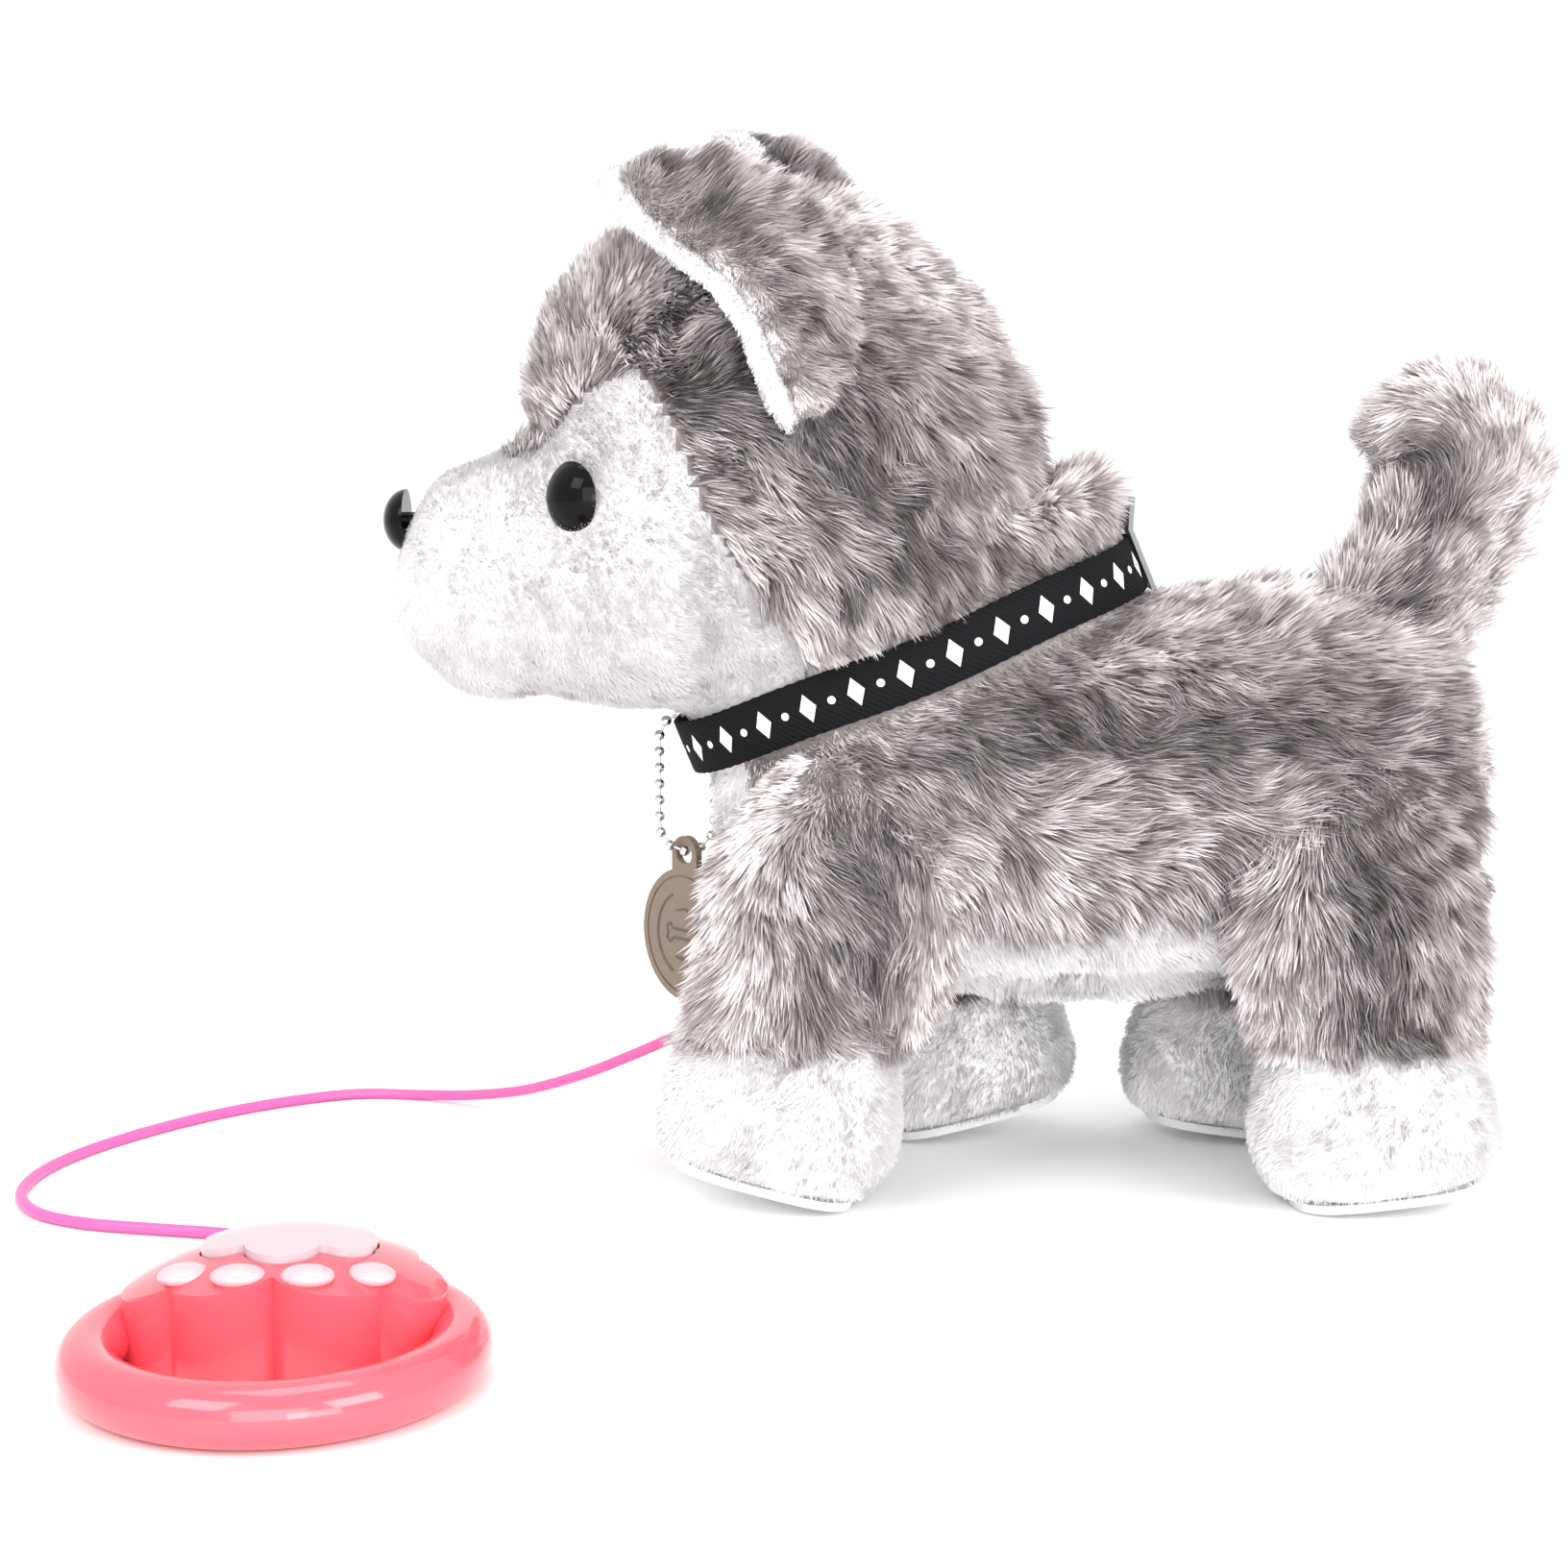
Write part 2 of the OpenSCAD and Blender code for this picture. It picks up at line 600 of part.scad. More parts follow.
module body_shell() {
    difference() {
        loft(body_stations(0), 0, 2.5);
        loft(body_stations(plush_t), 0, 2.5);
        half_space_above_collar(-strap_w / 2 - 1);
        leg_room(front_hip, front_stance);
        leg_room(rear_hip, rear_stance);
    }
}

// Slit in the cloth behind the strap for the chain's inner run
module chain_slit() {
    translate([chain_top[0] - chain_w / 2 - bead_d, -bead_d / 2 - 0.6, chain_top[1] - strap_w - 8])
        cube([chain_w + 2 * bead_d, bead_d + 1.2, strap_w + 14]);
}

module neck_shell(z0, z1) {
    collar_frame() translate([0, 0, z0]) linear_extrude(z1 - z0) difference() {
        polygon(oval(neck_a, neck_b));
        polygon(oval(neck_a - neck_cloth_t, neck_b - neck_cloth_t));
    }
}

belly_seam_z = 55 + lift;

module body_skin() {
    color(grey_fur) difference() {
        union() {
            body_shell();
            neck_shell(-strap_w / 2 - 1.2, strap_w / 2 + 1);
        }
        translate([-150, -60, -10]) cube([300, 120, belly_seam_z + 10 + soft_gap]);
        translate([tail_axis_x, 0, chassis_top + 2]) rotate([0, 37, 0])
            cylinder(r = tail_lever_r + 5, h = 30);
        loft(tail_stations(-soft_gap), 0, 2);
        chain_slit();
    }
}

module belly_skin() {
    color(white_fur) difference() {
        intersection() {
            body_shell();
            translate([-150, -60, -10]) cube([300, 120, belly_seam_z + 10]);
        }
        translate(gland_at) rotate([0, -180 + gland_tilt, 0]) translate([0, 0, -10])
            cylinder(r = 4.3, h = 20);
    }
}

// ---- head

// Rings from the top of the collar up to the crown
function head_stations(d) = let (w = head_w / 2, k = head_scale, c = collar_at,
        up = strap_w / 2 + 1.3) [
    [c[0] - up * sin(collar_lean), c[1] + up * cos(collar_lean), collar_lean, neck_a - d, neck_b - d],
    [c[0] - 5.5, c[1] + 12 * k, 18, 53 - d, w * 0.86 - d],
    [c[0] - 15.5, c[1] + 27 * k, 10, 57 - d, w * 0.97 - d],
    [c[0] - 24.5, c[1] + 44 * k, 0, 58 - d, w - d], [c[0] - 27.5, c[1] + 62 * k, 0, 55 - d, w * 0.96 - d],
    [c[0] - 26.5, c[1] + 79 * k, 0, 46 - d, w * 0.8 - d],
    [c[0] - 23.5, c[1] + 92 * k - d / 2, 0, 33 - d, w * 0.56 - d],
    [c[0] - 21.5, c[1] + 99 * k - d, 0, 16 - d / 2, w * 0.27 - d / 2]];

face_back = chest - 97;
face_top = 172 + lift;

// Rings from the cheeks forward to the tip of the muzzle
function face_stations(d) = let (f = face_back, z = lift) [
    [f - soft_gap, z + 140, 90, 35 - d, 42 - d], [f - 7, z + 139, 90, 34 - d, 37.5 - d],
    [f - 15, z + 137.5, 90, 32 - d, 30.5 - d], [f - 24, z + 135.5, 90, 29.5 - d, 24.5 - d],
    [f - 36, z + 133.5, 90, 25.5 - d, 22 - d], [f - 47, z + 133, 90, 21.5 - d, 19 - d],
    [f - 50.5 + d / 2, z + 134, 90, 15.5 - d, 13.5 - d], [f - 53.2 + d, z + 136, 90, 8.5 - d / 2, 8 - d / 2]];

module eye_frame(s) {
    translate([eye_at[0], s * eye_at[1], eye_at[2]]) rotate([0, 0, s * (90 + eye_turn)])
        rotate([0, 90, 0]) children();
}

module shanks_room() {
    for (s = [-1, 1]) eye_frame(s) translate([0, 0, -12]) cylinder(r = shank_r + 0.2, h = 24);
    translate([nose_at[0], 0, nose_at[1]]) rotate([0, -90, 0]) translate([0, 0, -12])
        cylinder(r = shank_r + 0.2, h = 24);
}

module head_skin() {
    color(grey_fur) difference() {
        loft(head_stations(0), 0, 2.15);
        loft(drawn_in(head_stations(plush_t), 0, 2, 0), 0, 2.15);
        translate([face_back - 103, -80, 60]) cube([103, 160, face_top - 60]);
        chain_slit();
    }
}

module face_skin() {
    color(white_fur) difference() {
        loft(face_stations(0), 0, 2.2);
        loft(drawn_in(face_stations(plush_t), 0, 2, 0), 0, 2.2);
        translate([face_back - 103, -80, face_top - soft_gap]) cube([200, 160, 60]);
        shanks_room();
    }
}

// Neck post from the chassis lid to a dish that the head cloth and its filling sit on
neck_post_x = chest - 36;
neck_post_tilt = -18;
neck_post_h = 36;

module neck_frame() {
    color(frame_plastic) {
        translate([neck_post_x - 11, -11, chassis_top]) cube([26, 22, 2.5]);
        translate([neck_post_x, 0, chassis_top + 2.3]) rotate([0, neck_post_tilt, 0]) {
            cylinder(r = 6.5, h = neck_post_h);
            translate([0, 0, neck_post_h - 1]) cylinder(r = 20, h = 2.5);
        }
    }
}

module head_stuffing() {
    color([0.97, 0.97, 0.95]) intersection() {
        loft(head_stations(plush_t + 0.5), 0, 2.15);
        translate([face_back + 2, -80, chassis_top + neck_post_h + 9]) cube([200, 160, 200]);
    }
}

// One ear: a soft triangular flap that stands on the side of the head and leans forward
module ear_plate(s, t, out, shrink) {
    translate([chest, 0, lift]) hull() {
        translate([-66, s * (48 + out), 166 + shrink]) sphere(r = t, $fn = 16);
        translate([-57 - shrink, s * (47 + out), 177]) sphere(r = t, $fn = 16);
        translate([-61 - shrink, s * (37 + out), 208 - shrink]) sphere(r = t, $fn = 16);
        translate([-98 + shrink, s * (40 + out), 220 - shrink]) sphere(r = t, $fn = 16);
    }
}

module ears() {
    color(grey_fur) difference() {
        for (s = [-1, 1]) ear_plate(s, 3.4, 4.2, 0);
        loft(head_stations(-soft_gap), 0, 2.15);
    }
}

module ear_linings() {
    color(white_fur) difference() {
        for (s = [-1, 1]) ear_plate(s, 1.4, -1.4, 3);
        for (s = [-1, 1]) ear_plate(s, 3.4 + 0.1, 4.2, 0);
        loft(head_stations(-soft_gap), 0, 2.15);
    }
}

module eyes() {
    color(black) for (s = [-1, 1]) eye_frame(s) {
        difference() {
            translate([0, 0, -4.6]) sphere(r = 9);
            translate([0, 0, -20]) cylinder(r = 12, h = 20.2);
        }
        translate([0, 0, -10]) cylinder(r = shank_r, h = 11);
    }
}

module nose() {
    color(black) translate([nose_at[0], 0, nose_at[1]]) rotate([0, -90, 0]) {
        difference() {
            scale([0.95, 1.2, 0.72]) sphere(r = 7.2);
            translate([0, 0, -20]) cylinder(r = 12, h = 20.2);
        }
        translate([0, 0, -10]) cylinder(r = shank_r, h = 11);
    }
}

// Ribbed retaining washers behind the eyes and the nose
module washer() {
    translate([0, 0, -9.6]) difference() {
        cylinder(r = 5, h = 1);
        translate([0, 0, -1]) cylinder(r = shank_r, h = 3);
    }
}

module face_washers() {
    color(frame_plastic) {
        for (s = [-1, 1]) eye_frame(s) washer();
        translate([nose_at[0], 0, nose_at[1]]) rotate([0, -90, 0]) washer();
    }
}

// ---- tail

// Rings along the tail from its root at the rump to its curled tip
tail_path = [[0, 0, -37, 0.76], [5.5, 8, -34, 0.92], [10, 17, -24, 1], [12.5, 27, -8, 1.03],
    [10.5, 36, 22, 0.96], [5, 42.5, 50, 0.82], [-2, 45.5, 68, 0.6], [-7, 46.5, 78, 0.3]];
function tail_stations(d) = [for (p = tail_path)
    [tail_root[0] + p[0], tail_root[1] + p[1], p[2], max(tail_d / 2 * p[3] - d, 1.5),
        max(tail_d / 2 * p[3] - d, 1.5)]];

module tail_skin() {
    color(grey_fur) difference() {
        loft(tail_stations(0), 0, 2);
        loft(drawn_in(tail_stations(plush_t), 0, 1, -3), 0, 2);
    }
}

module tail_lever() {
    color(frame_plastic) {
        translate([tail_axis_x, 0, chassis_top - 8]) cylinder(r = tail_lever_r, h = 11);
        translate([tail_axis_x, 0, chassis_top + 1.5]) sphere(r = tail_lever_r);
        translate([tail_axis_x, 0, chassis_top + 1.5]) rotate([0, 37, 0])
            cylinder(r = tail_lever_r - 0.6, h = 36);
    }
}

// ---- collar, chain and tag

module collar_strap() {
    color(black) collar_frame() translate([0, 0, -strap_w / 2]) linear_extrude(strap_w) difference() {
        polygon(oval(neck_a + collar_gap + strap_t, neck_b + collar_gap + strap_t));
        polygon(oval(neck_a + collar_gap, neck_b + collar_gap));
    }
}

clip_w = 10;
// Bent strip that joins the strap's ends at the nape
module collar_clip() {
    half = strap_w / 2 + 1;
    lip = 7;
    bend = [lip * sin(25), lip * cos(25)];
    color([0.35, 0.36, 0.38]) collar_frame()
        translate([neck_a + collar_gap + strap_t + 0.2, clip_w / 2, 0]) rotate([90, 0, 0])
            linear_extrude(clip_w) polygon([[0, -half], [1, -half], [1, half - 0.2],
                [1 + bend[0], half + bend[1] - 0.4], bend + [0, half], [0, half]]);
}

// Beads on a closed loop: two straight runs joined by round ends
chain_r = chain_w / 2;
chain_run = chain_drop - chain_w;
chain_len = 2 * chain_run + 3.1416 * chain_w;
bead_count = floor(chain_len / 3.6);
function chain_spot(u) = let (half = 3.1416 * chain_r)
    u < half ? [chain_r * cos(180 * u / half), chain_r * sin(180 * u / half)] :
    u < half + chain_run ? [-chain_r, half - u] :
    u < 2 * half + chain_run ? [-chain_r * cos(180 * (u - half - chain_run) / half),
        -chain_run - chain_r * sin(180 * (u - half - chain_run) / half)] :
    [chain_r, u - 2 * half - 2 * chain_run];

module chain_frame() {
    translate([chain_top[0], 0, chain_top[1] - chain_r]) rotate([90, 0, 0]) children();
}

module tag_chain() {
    color(steel) chain_frame() for (i = [0 : bead_count - 1]) {
        a = chain_spot(chain_len * i / bead_count);
        b = chain_spot(chain_len * ((i + 1) % bead_count) / bead_count);
        translate([a[0], a[1], 0]) rotate([0, 0, atan2(b[1] - a[1], b[0] - a[0])]) rotate([0, 90, 0]) {
            difference() {
                sphere(r = bead_d / 2);
                translate([0, 0, -bead_d]) cylinder(r = 0.4, h = 2 * bead_d);
            }
            translate([0, 0, 0.5]) cylinder(r = 0.3, h = norm(b - a) - 1);
        }
    }
}

// Round tag with a tab and an oval hole for the chain
module name_tag() {
    hang = chain_top[1] - chain_drop + 0.5;
    color([0.66, 0.59, 0.52]) translate([chain_top[0], 0, hang]) rotate([0, 0, -tag_turn])
        rotate([90, 0, 0]) translate([0, 0, -tag_t / 2]) difference() {
            union() {
                translate([0, -tag_d / 2 - tag_tab]) cylinder(r = tag_d / 2, h = tag_t, $fn = 64);
                translate([0, -1.5]) cylinder(r = tag_tab, h = tag_t);
                translate([-tag_tab, -tag_tab - 3]) cube([2 * tag_tab, tag_tab + 1.5, tag_t]);
            }
            for (x = [-0.6, 0.6]) translate([x, -1.2, -1]) cylinder(r = 2.1, h = tag_t + 2);
            translate([0, -tag_d / 2 - tag_tab, tag_t - 0.3]) difference() {
                cylinder(r = tag_d / 2 - 1.5, h = 1, $fn = 64);
                translate([0, 0, -1]) cylinder(r = tag_d / 2 - 2, h = 3, $fn = 64);
            }
        }
}

// ---- leash cord

module cord_gland() {
    color([0.94, 0.4, 0.7]) translate(gland_at) rotate([0, -180 + gland_tilt, 0]) difference() {
        union() {
            translate([0, 0, -3]) cylinder(r = 4, h = 7);
            translate([0, 0, 3]) cylinder(r1 = 4.6, r2 = 3, h = 2.2);
        }
        translate([0, 0, -4]) cylinder(r = cord_r, h = 12);
    }
}

function smooth_between(p, i, t) = let (a = p[max(i - 1, 0)], b = p[i], c = p[i + 1], d = p[min(i + 2, len(p) - 1)])
    0.5 * (2 * b + (c - a) * t + (2 * a - 5 * b + 4 * c - d) * t * t + (3 * b - a - 3 * c + d) * t * t * t);
cord_spots = concat([for (i = [0 : len(cord_route) - 2], t = [0, 0.5]) smooth_between(cord_route, i, t)],
    [cord_route[len(cord_route) - 1]]);
function cord_ring(i) = let (m = len(cord_spots) - 1, run = cord_spots[min(i + 1, m)] - cord_spots[max(i - 1, 0)],
        t = run / norm(run), side = cross(t, [0, 0, 1]), u = side / norm(side), v = cross(t, u))
    [for (j = [0 : 7]) cord_spots[i] + cord_r * (cos(45 * j + 22.5) * u + sin(45 * j + 22.5) * v)];

module leash_cord() {
    color([0.94, 0.4, 0.7]) polyhedron(points = [for (i = [0 : len(cord_spots) - 1]) each cord_ring(i)],
        faces = tube_faces(len(cord_spots), 8), convexity = 8);
}

// ---- hand control, drawn about the middle of its ring

module at_remote() { translate([remote_at[0], remote_at[1], 0]) children(); }

// Plan of the paw: four toes in front of a rounded heel
module paw_plan(d) {
    heel_r = ring_d / 2 - 19;
    for (x = [-4, 4]) translate([x, 17]) circle(r = heel_r - d);
    for (x = [-8.4, 8.4]) translate([x, 4.6]) circle(r = 11 - d);
    for (x = [-19, 19]) translate([x, 9]) circle(r = 9.6 - d);
}

module paw_dome(d) {
    translate([0, paw_mid_y, paw_h - dome_r]) sphere(r = dome_r - d, $fn = 96);
}

module ring_solid() {
    translate([0, 0, ring_z]) rotate_extrude($fn = 96) translate([ring_mid, 0]) circle(r = ring_r, $fn = 32);
}

// Plan of the pad: three lobes in front of a wide back
module pad_plan(d) {
    for (x = [-9.8, 9.8]) translate([x, 12.2]) circle(r = 5.4 - d);
    translate([0, 8.6]) circle(r = 6.8 - d);
    for (x = [-7, 7]) translate([x, 15.5]) circle(r = 8.4 - d);
    translate([-7, 12 + d]) square([14, 11.9 - 2 * d]);
}

bean_spots = [[-16.2, 2.6, 35], [-6, -1.8, 8], [6, -1.8, -8], [16.2, 2.6, -35]];
bean_r = 3.8;

relief_r = 3;
relief_end = ring_d / 2 - 0.7;
relief_len = 13.2;
module relief_socket() {
    translate([0, relief_end - 0.05, 6.5]) rotate([-90, 0, 0]) cylinder(r = relief_r + 0.1, h = 10);
}

module remote_top() {
    color(coral) at_remote() difference() {
        union() {
            intersection() {
                translate([0, 0, parting_z]) linear_extrude(paw_h) paw_plan(0);
                paw_dome(0);
            }
            intersection() {
                ring_solid();
                translate([-60, -60, parting_z]) cube([120, 120, 20]);
            }
        }
        intersection() {
            translate([0, 0, -1]) linear_extrude(paw_h) paw_plan(paw_wall);
            paw_dome(paw_wall);
        }
        translate([0, 0, 8]) linear_extrude(30) pad_plan(-pad_gap);
        for (p = bean_spots) translate([p[0], p[1], 6]) cylinder(r = 1.5, h = 30);
        relief_socket();
    }
}

remote_screw_spots = [[-12, 22], [12, 22], [0, 6]];

module remote_base() {
    color(coral) at_remote() difference() {
        union() {
            linear_extrude(parting_z) paw_plan(0);
            intersection() {
                ring_solid();
                translate([-60, -60, -1]) cube([120, 120, parting_z + 1]);
            }
            for (p = remote_screw_spots) translate([p[0], p[1], 0]) cylinder(r = 3, h = board_z);
        }
        difference() {
            translate([0, 0, paw_wall]) linear_extrude(paw_h) paw_plan(paw_wall + fit_gap);
            for (p = remote_screw_spots) translate([p[0], p[1], 0]) cylinder(r = 3, h = board_z);
        }
        for (p = remote_screw_spots) {
            translate([p[0], p[1], -1]) cylinder(r = 1.05, h = 20);
            translate([p[0], p[1], -1]) cylinder(r = screw_head_r + 0.2, h = 2.8);
        }
        relief_socket();
    }
}

module remote_screws() {
    color(steel) at_remote() for (p = remote_screw_spots) translate([p[0], p[1], 0.1]) {
        cylinder(r = screw_head_r, h = screw_head_h);
        translate([0, 0, 0.5]) cylinder(r = 1, h = board_z + 2);
    }
}

module remote_board() {
    color([0.1, 0.4, 0.2]) at_remote() difference() {
        union() {
            translate([-15, 3, board_z + 0.1]) cube([30, 23, 1.1]);
            translate([-9, 10, board_z + 1]) cube([5, 5, switch_h]);
        }
        for (p = remote_screw_spots) translate([p[0], p[1], -1]) cylinder(r = 1.05, h = 20);
    }
}

// Silicone dome that presses the pad back up
dome_h = pad_floor_z - 0.1 - dome_seat_z;
module button_dome() {
    color(white_fur) at_remote() translate([3, 13, dome_seat_z]) rotate_extrude()
        polygon([[2.6, 0], [6, 0], [6, 0.8], [5, 1.2], [3.2, dome_h], [0, dome_h], [0, dome_h - 1],
            [2.4, dome_h - 1], [4, 1]]);
}

module pad_button() {
    color(blush) at_remote() difference() {
        union() {
            intersection() {
                translate([0, 0, pad_floor_z]) linear_extrude(20) pad_plan(0);
                translate([0, paw_mid_y, paw_h - dome_r + pad_lift]) sphere(r = dome_r, $fn = 96);
            }
            translate([0, 0, pad_floor_z]) linear_extrude(1) intersection() {
                pad_plan(-1.2);
                translate([-30, 4]) square([60, 40]);
            }
        }
        intersection() {
            translate([0, 0, pad_floor_z + 1.2]) linear_extrude(20) pad_plan(1.6);
            translate([0, paw_mid_y, paw_h - dome_r + pad_lift - 1.6]) sphere(r = dome_r, $fn = 96);
        }
    }
}

// Four oval toe pads, each with a peg through the shell
module toe_beans() {
    color(blush) at_remote() for (p = bean_spots) {
        r = norm([p[0], p[1] - paw_mid_y]);
        z = paw_h - dome_r + sqrt(dome_r * dome_r - r * r);
        difference() {
            translate([p[0], p[1], z]) rotate([0, 0, p[2]]) scale([1.25, 1, 0.5]) sphere(r = bean_r);
            paw_dome(-0.05);
        }
        translate([p[0], p[1], z - 5]) cylinder(r = 1.4, h = 6);
    }
}

module strain_relief() {
    color([0.94, 0.4, 0.7]) at_remote() translate([0, relief_end + relief_len, 6.5]) rotate([90, 0, 0]) difference() {
        cylinder(r1 = cord_r + 0.8, r2 = relief_r, h = relief_len);
        translate([0, 0, -1]) cylinder(r = cord_r + running, h = 2.5);
    }
}

chassis_left();
chassis_right();
chassis_screws();
battery_door();
battery_cells();
battery_contacts();
leg_axles();
axle_clips();
gear_pins();
motor();
motor_pinion();
first_gear();
second_gear();
crank_gear();
crank_shaft();
crank_discs();
main_board();
speaker();
neck_frame();
tail_lever();
tail_skin();
front_left_leg();
front_right_leg();
rear_left_leg();
rear_right_leg();
link_left();
link_right();
front_left_sleeve();
front_right_sleeve();
rear_left_sleeve();
rear_right_sleeve();
front_left_sole();
front_right_sole();
rear_left_sole();
rear_right_sole();
body_skin();
belly_skin();
head_skin();
face_skin();
head_stuffing();
ears();
ear_linings();
eyes();
nose();
face_washers();
collar_strap();
collar_clip();
tag_chain();
name_tag();
cord_gland();
leash_cord();
remote_top();
remote_base();
pad_button();
button_dome();
toe_beans();
remote_board();
remote_screws();
strain_relief();
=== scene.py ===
# Walking plush dog with a corded, paw-shaped hand control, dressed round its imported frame.
import json
from math import cos, pi, radians, sin, sqrt

import bpy
import numpy as np
from mathutils import Matrix, Vector, kdtree


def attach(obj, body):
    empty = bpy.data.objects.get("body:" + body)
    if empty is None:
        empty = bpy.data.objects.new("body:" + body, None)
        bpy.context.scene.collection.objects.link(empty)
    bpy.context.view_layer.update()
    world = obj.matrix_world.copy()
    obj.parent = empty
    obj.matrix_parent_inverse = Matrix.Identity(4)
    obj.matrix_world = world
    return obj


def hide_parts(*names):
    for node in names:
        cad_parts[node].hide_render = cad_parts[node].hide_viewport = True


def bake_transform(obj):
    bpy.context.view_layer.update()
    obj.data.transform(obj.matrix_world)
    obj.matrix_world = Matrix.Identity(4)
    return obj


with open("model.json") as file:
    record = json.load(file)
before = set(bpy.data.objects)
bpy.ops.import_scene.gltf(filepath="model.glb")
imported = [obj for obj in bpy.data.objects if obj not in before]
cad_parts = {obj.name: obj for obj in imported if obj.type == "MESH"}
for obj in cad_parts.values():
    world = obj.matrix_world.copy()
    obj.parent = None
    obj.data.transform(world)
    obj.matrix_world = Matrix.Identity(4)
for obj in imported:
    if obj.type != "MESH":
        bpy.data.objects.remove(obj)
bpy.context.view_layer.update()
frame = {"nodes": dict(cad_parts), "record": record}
MM = 0.001

# ---- Studio ----
# A flat white floor and a white sky under large soft lights, as for a catalogue picture.
# The camera stands low, level with the dog's shoulder, looking along +Y.

scene = bpy.context.scene
scene.view_settings.view_transform = "Standard"
scene.view_settings.look = "None"

eye_height = 0.163
camera_data = bpy.data.cameras.new("studio_camera")
camera_data.sensor_width = 36
camera_data.angle = radians(32.5)
camera = bpy.data.objects.new("studio_camera", camera_data)
camera.location = (-0.068, -0.590, eye_height)
camera.rotation_euler = (radians(90 - 7.4), 0, 0)
scene.collection.objects.link(camera)
scene.camera = camera

world = bpy.data.worlds.new("studio_sky")
world.use_nodes = True
world.node_tree.nodes["Background"].inputs["Color"].default_value = (1, 1, 1, 1)
world.node_tree.nodes["Background"].inputs["Strength"].default_value = 1.1
scene.world = world


def new_material(name, colour, roughness, **sockets):
    """A principled material; the names of its sockets are given with _ for a space."""
    material = bpy.data.materials.new(name)
    material.use_nodes = True
    shader = material.node_tree.nodes["Principled BSDF"]
    shader.inputs["Base Color"].default_value = (*colour, 1)
    shader.inputs["Roughness"].default_value = roughness
    for socket, value in sockets.items():
        shader.inputs[socket.replace("_", " ")].default_value = value
    return material


def add_node(material, kind, **values):
    """A shader node with its inputs set by name."""
    node = material.node_tree.nodes.new("ShaderNode" + kind)
    for name, value in values.items():
        key = name.replace("_", " ")
        if key in node.inputs:
            node.inputs[key].default_value = value
        else:
            setattr(node, name, value)
    return node


def wire(material, source, target):
    material.node_tree.links.new(source, target)


def shader_of(material):
    return material.node_tree.nodes["Principled BSDF"]


def grain(material, scale, strength, distance=0.0002, detail=3.0):
    """Fine surface grain as bump."""
    place = add_node(material, "TexCoord")
    noise = add_node(material, "TexNoise", Scale=scale, Detail=detail)
    bump = add_node(material, "Bump", Strength=strength, Distance=distance)
    wire(material, place.outputs["Object"], noise.inputs["Vector"])
    wire(material, noise.outputs["Fac"], bump.inputs["Height"])
    wire(material, bump.outputs["Normal"], shader_of(material).inputs["Normal"])
    return noise


def mesh_piece(name, points, faces, material, body=None, smooth=True):
    """A mesh from points in millimetres, riding on a body."""
    mesh = bpy.data.meshes.new(name)
    mesh.from_pydata([tuple(p) for p in np.asarray(points, float) * MM], [], faces)
    mesh.validate()
    mesh.update()
    mesh.polygons.foreach_set("use_smooth", [smooth] * len(mesh.polygons))
    mesh.materials.append(material)
    piece = bpy.data.objects.new(name, mesh)
    scene.collection.objects.link(piece)
    if body:
        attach(piece, body)
    return piece


floor_paint = new_material("floor_paint", (0.93, 0.93, 0.93), 0.6)
grain(floor_paint, 30, 0.05)
floor_half = 4000
floor = mesh_piece(
    "studio_floor",
    [(-floor_half, -floor_half, 0), (floor_half, -floor_half, 0),
     (floor_half, floor_half, 0), (-floor_half, floor_half, 0)],
    [(0, 1, 2, 3)],
    floor_paint,
)

for light_name, place, size, energy in (
    ("key_light", (-0.70, -0.85, 0.95), 0.6, 6.0),
    ("fill_light", (0.80, -0.85, 0.70), 0.6, 8.0),
    ("front_light", (0.00, -1.40, 0.40), 0.9, 9.0),
    ("top_light", (-0.10, 0.05, 1.20), 0.6, 3.5),
    ("low_light", (0.35, -1.05, 0.10), 0.5, 4.0),
):
    lamp_data = bpy.data.lights.new(light_name, "AREA")
    lamp_data.size = size
    lamp_data.energy = energy
    lamp = bpy.data.objects.new(light_name, lamp_data)
    lamp.location = place
    lamp.rotation_euler = (Vector((-0.06, 0, 0.09)) - Vector(place)).to_track_quat("-Z", "Y").to_euler()
    scene.collection.objects.link(lamp)

# ---- Leash cord ----
# Thin pink vinyl flex that runs from a grommet in the belly over the floor to the hand control.
# It lies in one wide loop in front of the dog.

cord_width = 2.5
cord_route = [
    (-77, 0, 38.6), (-84, 2, 33.5), (-93, 8, 27.5), (-104, 18, 20.5), (-116, 29, 13.5),
    (-130, 41, 7), (-144, 52, 3), (-158, 59, 1.3), (-174, 60, 1.3), (-190, 52, 1.3),
    (-204, 40, 1.3), (-216, 25, 1.3), (-226, 8, 1.3), (-232, -10, 1.3), (-232, -28, 1.3),
    (-225, -42, 1.3), (-213, -50, 1.3), (-198, -54, 1.3), (-184, -57, 1.3), (-172, -61, 1.4),
    (-162, -68, 2.4), (-157, -77, 4.4), (-156, -86, 6), (-156, -91, 6.5),
]


def rounded_route(points, steps):
    """Points along the smooth curve through a route."""
    p = np.array(points, float)
    p = np.vstack([p[0], p, p[-1]])
    out = []
    for a, b, c, d in zip(p[:-3], p[1:-2], p[2:-1], p[3:]):
        for t in np.arange(steps) / steps:
            out.append(0.5 * (2 * b + (c - a) * t + (2 * a - 5 * b + 4 * c - d) * t**2
                              + (3 * b - a - 3 * c + d) * t**3))
    return np.array(out + [p[-1]])


